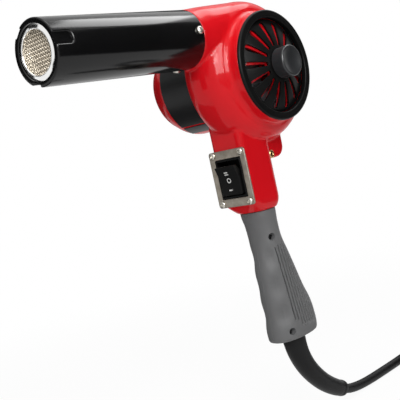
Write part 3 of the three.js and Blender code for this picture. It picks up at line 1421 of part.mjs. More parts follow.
// The coil winds inwards on the surface, climbs a layer as it turns back and winds outwards above
function coilPoints() {
  const total = 2 * COIL_TURNS;
  const climb = 0.5;
  const count = total * COIL_STEPS;
  const loops = Array.from({ length: count + 1 }, (_, i) => {
    const turn = i / COIL_STEPS;
    const share = THREE.MathUtils.smoothstep(turn, COIL_TURNS - climb / 2, COIL_TURNS + climb / 2);
    const radius = COIL_INNER_RADIUS + COIL_PITCH * Math.abs(turn - COIL_TURNS);
    const angle = Math.PI / 2 - turn * 2 * Math.PI;
    const z = coilLowZ + COIL_PITCH * share;
    return new THREE.Vector3(radius * Math.cos(angle), radius * Math.sin(angle), z).add(coilCentre);
  });
  const lead = new THREE.Vector3(COIL_START_X - 2 * LEAD_RADIUS, 0, coilLowZ);
  const tail = [0.35, 0.7, 1].map((share) => {
    return new THREE.Vector3(COIL_START_X + COIL_TAIL * share, 0, coilHighZ);
  });
  return [lead, ...loops, ...tail];
}

function leadCoil() {
  const points = coilPoints();
  const gap = leastSelfGap(points, LEAD_RADIUS, COIL_INNER_RADIUS * Math.PI);
  console.log(`lead coil: least gap to itself ${gap.toFixed(2)} mm`);
  return roundTube(points, LEAD_RADIUS, COIL_SIDES, new THREE.Vector3(0, 0, 1));
}

// A flat strap round the coil's strands, on the side away from the tool
function coilTie() {
  const inner = COIL_INNER_RADIUS + COIL_PITCH / 2 - LEAD_RADIUS - TIE_SLACK;
  const outer = coilOuterRadius - COIL_PITCH / 2 + LEAD_RADIUS + TIE_SLACK;
  const lowZ = coilLowZ - LEAD_RADIUS - SEAT_GAP;
  const highZ = coilHighZ + LEAD_RADIUS + SEAT_GAP;
  const corner = 2.5;
  const [width, height] = [outer - inner, highZ - lowZ];
  const thick = 2 * TIE_THICKNESS;
  const band = extrudedAlongX(
    roundedRectangle(width + thick, height + thick, corner + TIE_THICKNESS),
    -TIE_WIDTH / 2,
    TIE_WIDTH / 2,
    3,
  );
  const hole = extrudedAlongX(roundedRectangle(width, height, corner), -TIE_WIDTH, TIE_WIDTH, 3);
  const middleY = coilCentre.y - (inner + outer) / 2;
  return geometryOf(cut(solidOf(band), hole)).translate(coilCentre.x, middleY, (lowZ + highZ) / 2);
}

function plugBody() {
  const section = (x, width, height, corner) => {
    const outline = roundedOutline(-width / 2, width / 2, height / 2, corner, corner);
    return outline.map(([y, z]) => new THREE.Vector3(x, y, coilHighZ + z));
  };
  const nose = 2 * PLUG_NOSE_RADIUS;
  const round = PLUG_NOSE_RADIUS * 0.98;
  const edge = 1.5;
  const shoulder = plugStartX + PLUG_NOSE_LENGTH;
  return loft([
    section(plugStartX, nose, nose, round),
    section(shoulder - PLUG_NOSE_STEP, nose + PLUG_NOSE_SWELL, nose + PLUG_NOSE_SWELL, round),
    section(shoulder, PLUG_WIDTH - PLUG_SHOULDER, plugHeight - PLUG_SHOULDER, PLUG_CORNER),
    section(shoulder + PLUG_SHOULDER, PLUG_WIDTH, plugHeight, PLUG_CORNER),
    section(plugFaceX - edge, PLUG_WIDTH, plugHeight, PLUG_CORNER),
    section(plugFaceX, PLUG_WIDTH - edge, plugHeight - edge, PLUG_CORNER),
  ]);
}

function plugBlade(side) {
  const y = (side * BLADE_SPACING) / 2;
  const [from, to] = [plugFaceX + SEAT_GAP, plugFaceX + SEAT_GAP + BLADE_LENGTH];
  const z = coilHighZ + EARTH_DROP / 3;
  return block(
    [from, y - BLADE_THICKNESS / 2, z - BLADE_WIDTH / 2],
    [to, y + BLADE_THICKNESS / 2, z + BLADE_WIDTH / 2],
  );
}

function earthPin() {
  const from = plugFaceX + SEAT_GAP;
  const tip = from + EARTH_LENGTH;
  const profile = [
    [0, from],
    [EARTH_RADIUS, from],
    [EARTH_RADIUS, tip - EARTH_RADIUS],
    [EARTH_RADIUS * 0.6, tip - EARTH_RADIUS * 0.2],
    [0, tip],
  ];
  return turnedAboutX(profile, SCREW_SIDES).translate(0, 0, coilHighZ - (EARTH_DROP * 2) / 3);
}

piece("strain_relief", strainRelief(), "rubber");
piece("power_lead", leadStretch(), "rubber");
piece("lead_coil", leadCoil(), "rubber");
piece("coil_tie", coilTie(), "rubber");
piece("plug_body", plugBody(), "rubber");
piece("plug_blade_left", plugBlade(1), "brass");
piece("plug_blade_right", plugBlade(-1), "brass");
piece("plug_earth_pin", earthPin(), "brass");

export default tool;
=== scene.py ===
"""Looks of the hot air tool: red casting, black barrel, slotted damper, rocker switch, grey grip and lead.

Pieces are modelled in millimetres about the fan's axis and then settled into the part's frame, in metres.
"""

import math

import bmesh
import bpy
from mathutils import Matrix, Vector


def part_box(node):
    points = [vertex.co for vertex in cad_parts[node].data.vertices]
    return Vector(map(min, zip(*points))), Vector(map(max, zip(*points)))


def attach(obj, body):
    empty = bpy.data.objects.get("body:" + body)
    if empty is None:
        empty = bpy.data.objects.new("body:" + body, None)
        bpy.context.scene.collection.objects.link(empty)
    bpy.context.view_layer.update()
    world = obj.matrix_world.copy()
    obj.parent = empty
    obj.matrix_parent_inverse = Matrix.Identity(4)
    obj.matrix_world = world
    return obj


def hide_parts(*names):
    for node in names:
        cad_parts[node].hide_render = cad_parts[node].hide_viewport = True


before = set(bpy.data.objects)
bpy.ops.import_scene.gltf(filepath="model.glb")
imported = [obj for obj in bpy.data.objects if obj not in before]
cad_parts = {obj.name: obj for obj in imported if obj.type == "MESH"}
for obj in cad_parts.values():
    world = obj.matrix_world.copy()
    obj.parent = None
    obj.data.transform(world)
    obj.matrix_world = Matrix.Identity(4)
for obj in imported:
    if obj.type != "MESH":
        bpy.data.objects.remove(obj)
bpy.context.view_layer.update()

MM = 0.001
FAN_AXIS = Vector((14, 0, 180))
SEAT_GAP = 0.3
RIM_STEPS = 128
ROUND_STEPS = 64
SMALL_STEPS = 32
ARC_STEPS = 8
# How far a cutter stands out of what it cuts, how near counts as there and as on a rim, and from which share
# a direction lies along an axis
OVERRUN = 2
NEAR = 0.1
RIM_BAND = 1
ALONG = 0.9
# Squareness of a section: 2 is round
ROUND = 2

# Blower housing
HOUSING_WALL = 3
SCROLL_RADIUS = 63.4
SCROLL_CROWN_Y = -6.6
SCROLL_FRONT_Y = -26.8
SCROLL_BACK_Y = 18
SCROLL_FRONT_FOOT = 50.6
SCROLL_BACK_FOOT = 44
SCROLL_SQUARENESS = 2.6
SHOULDER_SQUARENESS = ROUND
COLLAR_RADIUS = 47.8
COLLAR_FRONT_Y = -38.7
COLLAR_FILLET = 5.2
INTAKE_RADIUS = 41.8
GRILLE_SEAT_RADIUS = 44.8
GRILLE_SEAT_Y = -32.2
GRILLE_FLANGE_Y = -34.6
SHOULDER_START = 0.5
SHAFT_HOLE_RADIUS = 10
OUTLET_REACH = 65
OUTLET_BORE = 20.6
OUTLET_DRUM_GAP = 1
SPIGOT_RADIUS = 23.4
SPIGOT_END_X = -84
SPIGOT_OVERLAP = 3
CASTING_VOXEL = 0.9
CASTING_SMOOTHING = 14

# Barrel and mouth
BARREL_Z = 34.9
BARREL_RADIUS = 25
BARREL_BORE = 23.7
BARREL_REAR_X = -65.3
BARREL_FRONT_X = -219.3
RIM_OPENING = 20.9
RIM_WALL = 1.3
KEYWAY_ANGLES = (12, 132, 252)
KEYWAY_WIDTH = 9
KEYWAY_LENGTH = 17
KEYWAY_DEPTH = 2.2
KEYWAY_LIP = 1.2
KEYWAY_END_ROUND = 0.98
BARREL_SKIN = 0.05
BARREL_RIM_ROUND = 1.1
BARREL_EDGE = 0.6
BARREL_SCREW_X = -69.9
BARREL_SCREW_ANGLES = (6, 126, 246)
MOUTH_RING_FRONT_X = -217.7
MOUTH_RING_BACK_X = -215.5
MOUTH_RING_OUTER = 21.2
MOUTH_RING_EDGE = 20.3
MOUTH_RING_CREST = 1.5
MOUTH_RING_INNER = 16.4
# Corners of the ring's crest, out from its opening and back from its top
MOUTH_RING_CREST_ARC = ((1.3, 0.18), (0.95, 0.05), (0.65, 0), (0.3, 0.12), (0.08, 0.35), (0, 0.7))
SCREEN_X = -214.7
SCREEN_RADIUS = 19.6
SCREEN_PITCH = 2.0
SCREEN_WIRE = 0.42
SCREEN_WIRE_SIDES = 6
SCREEN_LIFT = 0.95
SCREEN_STEPS = 4
HEATER_FRONT_X = -192.4
HEATER_REAR_X = -104
HEATER_RADIUS = 12.5
HEATER_TURNS = 7
HEATER_WIRE = 1.2
HEATER_STEPS = 36

# Intake
RING_RADIUS = 48.3
RING_INNER = 41.4
RING_BACK_Y = -39
RING_FRONT_Y = -41.5
RING_LIP_WALL = 0.5
RING_LIP_Y = -36.9
RING_OUTER_ROUND = 1.8
RING_INNER_ROUND = 1
DAMPER_RADIUS = 40.8
DAMPER_RIM_Y = -37
DAMPER_RISE = 9.6
DAMPER_THICKNESS = 1.8
DAMPER_REST_TURN = 3.5
DAMPER_EDGE = 0.25
GRILLE_SETBACK = 2.4
GRILLE_THICKNESS = 2
GRILLE_INSET = 1
SPINDLE_BORE = 3.3
HUB_RADIUS = 6
HUB_END_Y = -52
SLOT_COUNT = 14
SLOT_FRONT_Y = -66
SLOT_BACK_GAP = 0.01
SLOT_INNER_RADIUS = 15.6
SLOT_OUTER_RADIUS = 38
SLOT_INNER_WIDTH = 3
SLOT_OUTER_WIDTH = 6.6
SLOT_END_ROUND = 0.46
KNOB_RADIUS = 13.5
KNOB_BACK_Y = -46.9
KNOB_FACE_Y = -58.9
KNOB_DISH = 2.4
KNOB_DISH_STEPS = 12
KNOB_EDGE = 1.4
KNOB_TAPER = 0.4
KNOB_BELT_FRONT = 4
KNOB_BELT_BACK = 3

# Motor drum
DRUM_RADIUS = 44
DRUM_START_Y = 18.3
DRUM_SHOULDER_Y = 62.8
DRUM_END_Y = 78.8
DRUM_END_RADIUS = 34.4
DRUM_SHOULDER_ROUND = 6
DRUM_END_ROUND = 3
DRUM_EDGE = 0.4
DRUM_WALL = 2.5
DRUM_END_WALL = 4.5
VENT_COUNT = 9
VENT_RADII = (18, 29)
VENT_WIDTH = 4.5
VENT_END_ROUND = 0.9
COVER_SCREW_COUNT = 3
COVER_SCREW_CIRCLE = 24
COVER_SCREW_WELL = 2.6
COVER_SCREW_WELL_RADIUS = 3.6
BAND_RADII = (44.3, 44.8)
BAND_Y = (21, 58)
BAND_SWEEPS = {"rating_band": (118, 231), "rating_band_lower": (234, 250)}

# Screws: head radius, head height, shank radius and shank length
BARREL_SCREW = (3.3, 2.2, 1.5, 5)
COVER_SCREW = (3, 2, 1.5, 8)
PLATE_SCREW = (2.9, 1.7, 1.4, 5)
GRIP_SCREW = (2.7, 2, 1.5, 16)
HEAD_SINK = 0.1
# Shares of the head's height at its edge and at the recess's floor, and of its radius
HEAD_EDGE = 0.35
RECESS_FLOOR = 0.45
RECESS_LENGTH = 0.62
RECESS_WIDTH = 0.15
# How far the recesses are turned, in degrees for each screw of the barrel and else in radians from one to the next
BARREL_SCREW_TURNS = (57, 94, 131)
COVER_SCREW_TURN = 0.7
GRIP_SCREW_TURN = 0.6
PLATE_SCREW_FIRST_TURN = 0.4
PLATE_SCREW_TURN = 0.9

# Neck, lug and switch
NECK_FRONT_X = -40.3
NECK_BACK_X = 0.8
NECK_HALF_WIDTH = 18
NECK_FRONT_CORNER = 5
NECK_BACK_CORNER = 9
NECK_OVERLAP = 24
NECK_BOTTOM_Z = -121.3
NECK_ROUNDING = 10
NECK_LIP = 0.6
NECK_FOOT_STEPS = 12
NECK_FOOT_CORNER = 0.85
NECK_FRONT_FALL = 1.1
NECK_BACK_FALL = 2.5
LUG_HALF_WIDTH = 12
LUG_REACH = 24.6
LUG_OVERLAP = 12
LUG_TOP_Z = -45
LUG_BOTTOM_Z = -79
LUG_CORNER = 11
LUG_EDGE = 1.6
RIVET_X = 4.3
RIVET_Z = -75.1
RIVET_HOLE_RADIUS = 2.6
# Corners of the rivet's head: radius and rise from the lug's face
RIVET_HEAD = ((1.3, 0.5), (1.6, 0.8), (2.8, 0.8), (3.6, 0.3), (3.6, 0), (2.3, 0))
PLATE_FRONT_X = -42.2
PLATE_BACK_X = -40.6
PLATE_Z = -87.9
PLATE_SIZE = (41, 50)
PLATE_CORNER = 2.5
PLATE_EDGE = 0.35
PLATE_WINDOW = (29.4, 35.2)
PLATE_SCREW_Y = 15.8
PLATE_SCREW_Z = 21.7
PLATE_SCREW_SIDES = ((1, 1), (-1, 1), (1, -1), (-1, -1))
SWITCH_SIZE = (28.8, 34.6)
SWITCH_BACK_X = -20.2
BEZEL_RISE = 0.5
BEZEL_EDGE = 0.4
PIN_RADIUS = 1.6
PIN_INSET = 1
ROCKER_WELL = (25.6, 30.8)
ROCKER_WELL_DEPTH = 14
ROCKER_WIDTH = 22.6
ROCKER_HEIGHT = 26
ROCKER_PIVOT_X = -36.2
ROCKER_DEPTH = 11
ROCKER_FALL = 2.6
ROCKER_TILT = 9
ROCKER_END_DEPTH = 3.4
ROCKER_BACK_RADIUS = 5
ROCKER_BACK_ANGLE = 111.6
ROCKER_BACK_STEPS = 12
ROCKER_BORE = 1.9
ROCKER_EDGE = 0.7
MARK_DEPTH = (-0.06, 0.12)
MARK_BAR_HALF = (1.9, 0.55)
MARK_BAR_EDGE = 0.05
MARK_BARS = {"bar_low": -8.4, "bar_high": 5.6, "bar_higher": 7.5}
MARK_RING_RADII = (1.5, 2.3)
MARK_SHIFT_Y = 0.8

# Grip: drop below its top, front and back edge, half width
GRIP_TOP_Z = -121.6
GRIP_STATIONS = (
    (0, -32, -1, 15.2), (5.2, -31.4, -1.2, 15), (11.7, -29.6, -1.6, 14.5), (25.7, -28.6, -0.4, 14.2),
    (41.7, -29.7, 5.7, 14.4), (57.7, -30.9, 11.3, 14.8), (74.7, -31.6, 16.8, 15.4), (91.7, -31, 23.7, 16),
    (107.5, -32.4, 26, 16.5), (114.8, -32.2, 25.6, 16.4), (117.8, -31.2, 24.4, 15.6), (119, -28.6, 21.8, 13.4),
)
GRIP_SQUARENESS = 2.2
GRIP_SPLIT = 0.06
GRIP_POINTS = 640
GRIP_STEP = 1
GRIP_SCREW_X = -20.4
GRIP_SCREW_DROPS = (24.1, 110.5)
GRIP_HOLE_RADIUS = 3.2
GRIP_SCREW_SEAT = -9.3
WAVE_DEPTH = 2
WAVE_PITCH = 27
WAVE_SPAN = (-150, -226)
WAVE_FADE = 8
# Shares of the way to the grip's front where a wave starts and is full, and where it weakens again
WAVE_SIDE = (0.38, 0.68)
WAVE_FRONT = (0.75, 1)
WAVE_FRONT_LOSS = 0.75
WAVE_FAR_SHARE = 0.5
GROOVE_PITCH = 3.5
GROOVE_HALF_WIDTH = 0.58
GROOVE_DEPTH = 2.4
# Upper end of the first groove, as x and z, and lower ends of the short and the long grooves
GROOVE_TOP = (-19.5, -155)
GROOVE_LEAN = 5 / 67
GROOVE_END_Z = (-223.5, -230)
GROOVE_FADE = 1
SHORT_GROOVES = 2
FIRST_GROOVE_DROP = 1.5

# Lead, in metres in the part's frame
LEAD_DIAMETER = 0.009
LEAD_ROUTE = (
    (0.0595, 0, -0.1278), (0.0656, 0, -0.1305), (0.0735, 0, -0.1337), (0.084, 0, -0.1361), (0.098, 0, -0.1377),
    (0.114, 0, -0.1384), (0.134, 0, -0.1385), (0.154, 0, -0.1384), (0.174, 0, -0.1381), (0.190, 0, -0.1376),
    (0.2007, 0, -0.1374),
)
COIL_CENTRE = (0.214, -0.0644)
COIL_INNER_RADIUS = 0.0356
COIL_PITCH = 0.0096
COIL_TURNS = 3
COIL_LOW_Z = -0.1374
COIL_POINTS = 24
COIL_CLIMB = 0.5
COIL_TAIL = 0.046
COIL_TAIL_SHARES = (0.35, 0.7, 1.05)
SURFACE_Z = -0.143

# Sleeve, tie and plug, in millimetres
SLEEVE_ROUTE = (
    (-4, -246), (-3.2, -252), (-1.6, -258.5), (1.3, -265.7), (6, -274), (13.2, -283.2), (22.6, -292.6),
    (32.5, -300.2), (42, -306), (46.5, -308.2), (49, -309.35), (51, -310.25),
)
SLEEVE_TOP_RADIUS = 10.5
SLEEVE_END_RADIUS = 7
SLEEVE_BEAD = 0.5
# Where the bead starts and is full, in steps from the sleeve's end
SLEEVE_BEAD_SPAN = (8, 5)
SLEEVE_NECK_RADIUS = 9.2
SLEEVE_NECK_LENGTH = 8
SLEEVE_EDGE = 0.5
SLEEVE_END_EDGE = 0.6
SLEEVE_MOUTH_EDGE = 0.4
SLEEVE_MOUTH_DEPTH = 9
SLEEVE_HOLE_DEPTH = 12
SLEEVE_HOLE_OVERRUN = 3
GRIP_BOTTOM_Z = -240.6
LEAD_RADIUS = 4.5
LEAD_GAP = 0.25
STRAP_CORNER = 3.3
STRAP_THICKNESS = 0.8
STRAP_EDGE = 0.15
PLUG_START_X = 246.3
PLUG_SHOULDER_X = 266.3
PLUG_FACE_X = 296.3
PLUG_WIDTH = 27
PLUG_HEIGHT = 30.4
PLUG_NOSE_STEPS = 24
PLUG_NOSE_GAP = 3
PLUG_NOSE_RADII = (7, 8.5)
PLUG_NOSE_CORNER = 0.49
PLUG_RIBS = 5
PLUG_RIB_HEIGHT = 0.8
PLUG_RIB_END = 0.8
BLADE_HOLE_RADIUS = 1.5
BLADE_HOLE_INSET = 4
BLADE_EDGE = 0.4
EARTH_PIN_RADIUS = 2.4


def smoothstep(value, low, high):
    share = min(max((value - low) / (high - low), 0), 1)
    return share * share * (3 - 2 * share)


def mix(start, end, share):
    return start + (end - start) * share


def turns_of(count):
    """Angles round a full turn in equal steps."""
    return [number / count * 2 * math.pi for number in range(count)]


def quarter_turn(steps, first=0):
    """Angles up to a right angle in equal steps."""
    return [number / steps * math.pi / 2 for number in range(first, steps + 1)]


def signed_power(value, power):
    return math.copysign(abs(value) ** power, value)


def smooth_between(start, end, slope_in, slope_out, share):
    """A place between two others on a line that leaves and arrives with the given slopes."""
    squared, cubed = share ** 2, share ** 3
    return (
        start * (2 * cubed - 3 * squared + 1) + slope_in * (cubed - 2 * squared + share)
        + end * (3 * squared - 2 * cubed) + slope_out * (cubed - squared)
    )


# Camera at the photograph's view of the tool
CAMERA_PLACE = Vector((-0.59317, -0.49582, 0.12461))
CAMERA_RIGHT = Vector((0.66428, -0.71637, -0.21341))
CAMERA_UP = Vector((0.18964, -0.11465, 0.97514))
CAMERA_BACK = Vector((-0.72303, -0.68824, 0.0597))
CAMERA_LENS = 78.01

view_camera = bpy.data.objects.new("view_camera", bpy.data.cameras.new("view_camera"))
bpy.context.scene.collection.objects.link(view_camera)
view_camera.data.lens = CAMERA_LENS
view_camera.data.sensor_width = 36
view_camera.data.clip_start = 0.01
view_camera.data.clip_end = 50
view_turn = Matrix((CAMERA_RIGHT, CAMERA_UP, CAMERA_BACK)).transposed().to_4x4()
view_camera.matrix_world = Matrix.Translation(CAMERA_PLACE) @ view_turn
bpy.context.scene.camera = view_camera


# Effects that several finishes share
def add_node(tree, kind, inputs=None, **settings):
    """A shader node with its settings, and each input set to a value or linked to a socket."""
    node = tree.nodes.new(kind)
    for label, value in settings.items():
        setattr(node, label, value)
    for label, value in (inputs or {}).items():
        if isinstance(value, bpy.types.NodeSocket):
            tree.links.new(value, node.inputs[label])
        else:
            node.inputs[label].default_value = value
    return node


def effect(name, inputs, outputs):
    """A shader node group with its inputs, as (name, kind, value), and outputs, as (name, kind)."""
    tree = bpy.data.node_groups.new(name, "ShaderNodeTree")
    for label, kind, value in inputs:
        socket = tree.interface.new_socket(label, in_out="INPUT", socket_type=kind)
        socket.default_value = value
    for label, kind in outputs:
        tree.interface.new_socket(label, in_out="OUTPUT", socket_type=kind)
    return tree, tree.nodes.new("NodeGroupInput"), tree.nodes.new("NodeGroupOutput")


def noise_in(tree, scale, detail, stretch=None):
    """Noise on the piece's own coordinates, stretched along an axis where a vector is given."""
    vector = add_node(tree, "ShaderNodeTexCoord").outputs["Object"]
    if stretch is not None:
        vector = add_node(tree, "ShaderNodeMapping", {"Vector": vector, "Scale": stretch}).outputs["Vector"]
    noise = add_node(tree, "ShaderNodeTexNoise", {"Detail": detail, "Vector": vector, "Scale": scale})
    return noise.outputs["Fac"]


def tone_drift():
    """A colour that drifts towards another in soft patches."""
    tree, entry, leave = effect(
        "tone_drift",
        [
            ("Color", "NodeSocketColor", (0.5, 0.5, 0.5, 1)),
            ("Other", "NodeSocketColor", (0.4, 0.4, 0.4, 1)),
            ("Scale", "NodeSocketFloat", 20),
            ("Amount", "NodeSocketFloat", 0.5),
        ],
        [("Color", "NodeSocketColor")],
    )
    patch = noise_in(tree, entry.outputs["Scale"], 4)
    spread = add_node(tree, "ShaderNodeMapRange", {
        "From Min": 0.35, "From Max": 0.7, "Value": patch, "To Max": entry.outputs["Amount"],
    })
    blend = add_node(tree, "ShaderNodeMix", {
        "Factor": spread.outputs["Result"], "A": entry.outputs["Color"], "B": entry.outputs["Other"],
    }, data_type="RGBA")
    tree.links.new(blend.outputs["Result"], leave.inputs["Color"])
    return tree


def handled_gloss():
    """Roughness with the faint smears that handling leaves."""
    tree, entry, leave = effect(
        "handled_gloss",
        [
            ("Roughness", "NodeSocketFloat", 0.4),
            ("Spread", "NodeSocketFloat", 0.1),
            ("Scale", "NodeSocketFloat", 30),
        ],
        [("Roughness", "NodeSocketFloat")],
    )
    smear = noise_in(tree, entry.outputs["Scale"], 6)
    centred = add_node(tree, "ShaderNodeMath", {0: smear, 1: 0.5}, operation="SUBTRACT")
    total = add_node(tree, "ShaderNodeMath", {
        0: centred.outputs["Value"], 1: entry.outputs["Spread"], 2: entry.outputs["Roughness"],
    }, operation="MULTIPLY_ADD", use_clamp=True)
    tree.links.new(total.outputs["Value"], leave.inputs["Roughness"])
    return tree


def fine_grain():
    """Height of a fine surface grain, drawn out along an axis by Stretch."""
    tree, entry, leave = effect(
        "fine_grain",
        [("Scale", "NodeSocketFloat", 800), ("Stretch", "NodeSocketVector", (1, 1, 1))],
        [("Height", "NodeSocketFloat")],
    )
    grain = noise_in(tree, entry.outputs["Scale"], 3, entry.outputs["Stretch"])
    tree.links.new(grain, leave.inputs["Height"])
    return tree


TONE_DRIFT = tone_drift()
HANDLED_GLOSS = handled_gloss()
FINE_GRAIN = fine_grain()


def finish(name, colour, other, roughness, drift=(25, 0.6), smear=(35, 0.12), grain=(900, 0.05), depth=0.0001,
           stretch=(1, 1, 1), **constants):
    """A finish: colour drifting to another, smeared gloss and a fine grain, with constants set on the shader.

    Drift, smear and grain are each a scale and an amount, and depth is how deep the grain goes.
    """
    material = bpy.data.materials.new(name)
    material.use_nodes = True
    tree = material.node_tree
    shader = tree.nodes["Principled BSDF"]
    for label, value in constants.items():
        shader.inputs[label.replace("_", " ")].default_value = value
    tone = add_node(tree, "ShaderNodeGroup", node_tree=TONE_DRIFT)
    gloss = add_node(tree, "ShaderNodeGroup", node_tree=HANDLED_GLOSS)
    height = add_node(tree, "ShaderNodeGroup", node_tree=FINE_GRAIN)
    given = (
        (tone, {"Color": (*colour, 1), "Other": (*other, 1), "Scale": drift[0], "Amount": drift[1]}),
        (gloss, {"Roughness": roughness, "Spread": smear[1], "Scale": smear[0]}),
        (height, {"Scale": grain[0], "Stretch": stretch}),
    )
    for node, values in given:
        for label, value in values.items():
            node.inputs[label].default_value = value
    bump = add_node(tree, "ShaderNodeBump", {
        "Strength": grain[1], "Distance": depth, "Height": height.outputs["Height"],
    })
    tree.links.new(tone.outputs["Color"], shader.inputs["Base Color"])
    tree.links.new(gloss.outputs["Roughness"], shader.inputs["Roughness"])
    tree.links.new(bump.outputs["Normal"], shader.inputs["Normal"])
    return material


FINISH_VALUES = {
    "red_paint": dict(
        colour=(0.70, 0.006, 0.012), other=(0.61, 0.005, 0.010), roughness=0.30, drift=(14, 0.5), smear=(45, 0.06),
        grain=(420, 0.10), Specular_IOR_Level=0.05, Coat_Weight=0.28, Coat_Roughness=0.06),
    "black_enamel": dict(
        colour=(0.004, 0.004, 0.0043), other=(0.006, 0.006, 0.0064), roughness=0.14, smear=(30, 0.05),
        grain=(300, 0.08), stretch=(0.1, 1, 1), Specular_IOR_Level=0.3),
    "black_plastic": dict(
        colour=(0.004, 0.0041, 0.0041), other=(0.007, 0.007, 0.007), roughness=0.38, grain=(2600, 0.25),
        depth=0.00006, Specular_IOR_Level=0.08),
    "knob_plastic": dict(
        colour=(0.022, 0.023, 0.025), other=(0.028, 0.029, 0.031), roughness=0.30, grain=(2200, 0.25),
        depth=0.00006, Specular_IOR_Level=0.4),
    "grey_grip": dict(
        colour=(0.150, 0.151, 0.153), other=(0.128, 0.129, 0.131), roughness=0.55, drift=(40, 0.6),
        grain=(1700, 0.35), Specular_IOR_Level=0.2),
    "band_film": dict(
        colour=(0.008, 0.0085, 0.009), other=(0.012, 0.0125, 0.013), roughness=0.36, grain=(1500, 0.1),
        Specular_IOR_Level=0.25),
    "nickel_plate": dict(
        colour=(0.37, 0.335, 0.285), other=(0.25, 0.22, 0.18), roughness=0.42, drift=(180, 0.9), smear=(120, 0.25),
        grain=(900, 0.3), stretch=(1, 0.08, 1), Metallic=1.0),
    "zinc_steel": dict(
        colour=(0.58, 0.555, 0.50), other=(0.44, 0.42, 0.37), roughness=0.32, drift=(300, 0.5), smear=(250, 0.15),
        Metallic=1.0),
    "polished_steel": dict(
        colour=(0.88, 0.88, 0.87), other=(0.78, 0.78, 0.77), roughness=0.10, drift=(120, 0.4), smear=(90, 0.08),
        grain=(600, 0.04), stretch=(0.05, 1, 1), Metallic=1.0),
    "screen_wire": dict(
        colour=(0.56, 0.50, 0.41), other=(0.40, 0.35, 0.28), roughness=0.5, drift=(90, 0.8), smear=(200, 0.2),
        Metallic=0.9),
    "plain_steel": dict(
        colour=(0.36, 0.37, 0.39), other=(0.26, 0.27, 0.29), roughness=0.36, drift=(120, 0.6), grain=(700, 0.2),
        stretch=(1, 0.1, 1), Metallic=1.0),
    "brass": dict(
        colour=(0.60, 0.43, 0.20), other=(0.45, 0.31, 0.14), roughness=0.30, drift=(200, 0.6), Metallic=1.0),
    "copper": dict(
        colour=(0.40, 0.15, 0.06), other=(0.28, 0.09, 0.04), roughness=0.38, drift=(500, 0.8), grain=(2400, 0.5),
        stretch=(1, 0.15, 1), Metallic=0.8),
    "carbon": dict(colour=(0.016, 0.016, 0.017), other=(0.03, 0.03, 0.03), roughness=0.65, grain=(2500, 0.4)),
    "mica": dict(
        colour=(0.58, 0.52, 0.36), other=(0.45, 0.39, 0.26), roughness=0.5, drift=(200, 0.8), grain=(600, 0.3)),
    "fan_metal": dict(
        colour=(0.50, 0.51, 0.52), other=(0.38, 0.39, 0.40), roughness=0.38, drift=(80, 0.6), grain=(900, 0.25),
        Metallic=1.0),
    # Near-black steel for the grip screws: painted shade standing in for the dark of their deep wells
    "painted_shade_steel": dict(
        colour=(0.010, 0.010, 0.011), other=(0.006, 0.006, 0.007), roughness=0.42, drift=(300, 0.5),
        Specular_IOR_Level=0.2),
    "black_rubber": dict(
        colour=(0.006, 0.006, 0.0064), other=(0.009, 0.009, 0.0095), roughness=0.46, drift=(60, 0.6),
        grain=(1800, 0.3), depth=0.00008, Specular_IOR_Level=0.16),
    "mark_paint": dict(colour=(0.72, 0.72, 0.70), other=(0.6, 0.6, 0.58), roughness=0.5, drift=(700, 0.5)),
}
FINISHES = {name: finish(name, **values) for name, values in FINISH_VALUES.items()}


# Working with one piece at a time
def pick_none():
    if bpy.context.mode != "OBJECT":
        bpy.ops.object.mode_set(mode="OBJECT")
    bpy.ops.object.select_all(action="DESELECT")
    bpy.context.tool_settings.mesh_select_mode = (True, False, False)


def pick(piece):
    pick_none()
    piece.select_set(True)
    bpy.context.view_layer.objects.active = piece


def edit(piece):
    pick(piece)
    bpy.ops.object.mode_set(mode="EDIT")
    bpy.ops.mesh.select_all(action="DESELECT")


def leave_edit():
    bpy.ops.object.mode_set(mode="OBJECT")


def named(name):
    piece = bpy.context.object
    piece.name = name
    piece.data.name = name
    return piece


def pick_part(piece, kind, test):
    """Selects, in edit mode, the faces or edges whose middle and direction pass a test."""
    bpy.ops.mesh.select_all(action="DESELECT")
    bpy.ops.mesh.select_mode(type="FACE" if kind == "faces" else "EDGE")
    mesh = bmesh.from_edit_mesh(piece.data)
    for part in getattr(mesh, kind):
        if kind == "faces":
            middle, way = part.calc_center_median(), part.normal
        else:
            ends = [vertex.co for vertex in part.verts]
            middle, way = (ends[0] + ends[1]) / 2, (ends[1] - ends[0]).normalized()
        if test(middle, way):
            part.select_set(True)
    mesh.select_flush_mode()
    bmesh.update_edit_mesh(piece.data)


def bevel_where(piece, offset, segments, test):
    """Rounds the edges that pass a test."""
    edit(piece)
    pick_part(piece, "edges", test)
    bpy.ops.mesh.bevel(offset=offset, segments=segments, affect="EDGES")
    leave_edit()
    return piece


def outwards(piece):
    """Merges doubled corners and turns the faces outwards."""
    edit(piece)
    bpy.ops.mesh.select_all(action="SELECT")
    bpy.ops.mesh.remove_doubles(threshold=0.001)
    bpy.ops.mesh.normals_make_consistent(inside=False)
    leave_edit()
    return piece


def apply_modifier(piece, kind, **settings):
    pick(piece)
    modifier = piece.modifiers.new(kind.lower(), kind)
    for label, value in settings.items():
        setattr(modifier, label, value)
    bpy.ops.object.modifier_apply(modifier=modifier.name)
    return piece


def cut(piece, *cutters):
    for cutter in cutters:
        apply_modifier(piece, "BOOLEAN", operation="DIFFERENCE", object=cutter, solver="EXACT")
        bpy.data.objects.remove(cutter)
    return piece


def weld(piece, *others):
    for other in others:
        apply_modifier(piece, "BOOLEAN", operation="UNION", object=other, solver="EXACT")
        bpy.data.objects.remove(other)
    return piece


def join(first, *others):
    pick(first)
    for other in others:
        other.select_set(True)
    bpy.ops.object.join()
    return first


def copy_of(piece, name, move):
    """A copy with its own mesh, moved by a matrix."""
    twin = piece.copy()
    twin.data = piece.data.copy()
    twin.name = name
    twin.data.name = name
    bpy.context.scene.collection.objects.link(twin)
    twin.data.transform(move)
    return twin


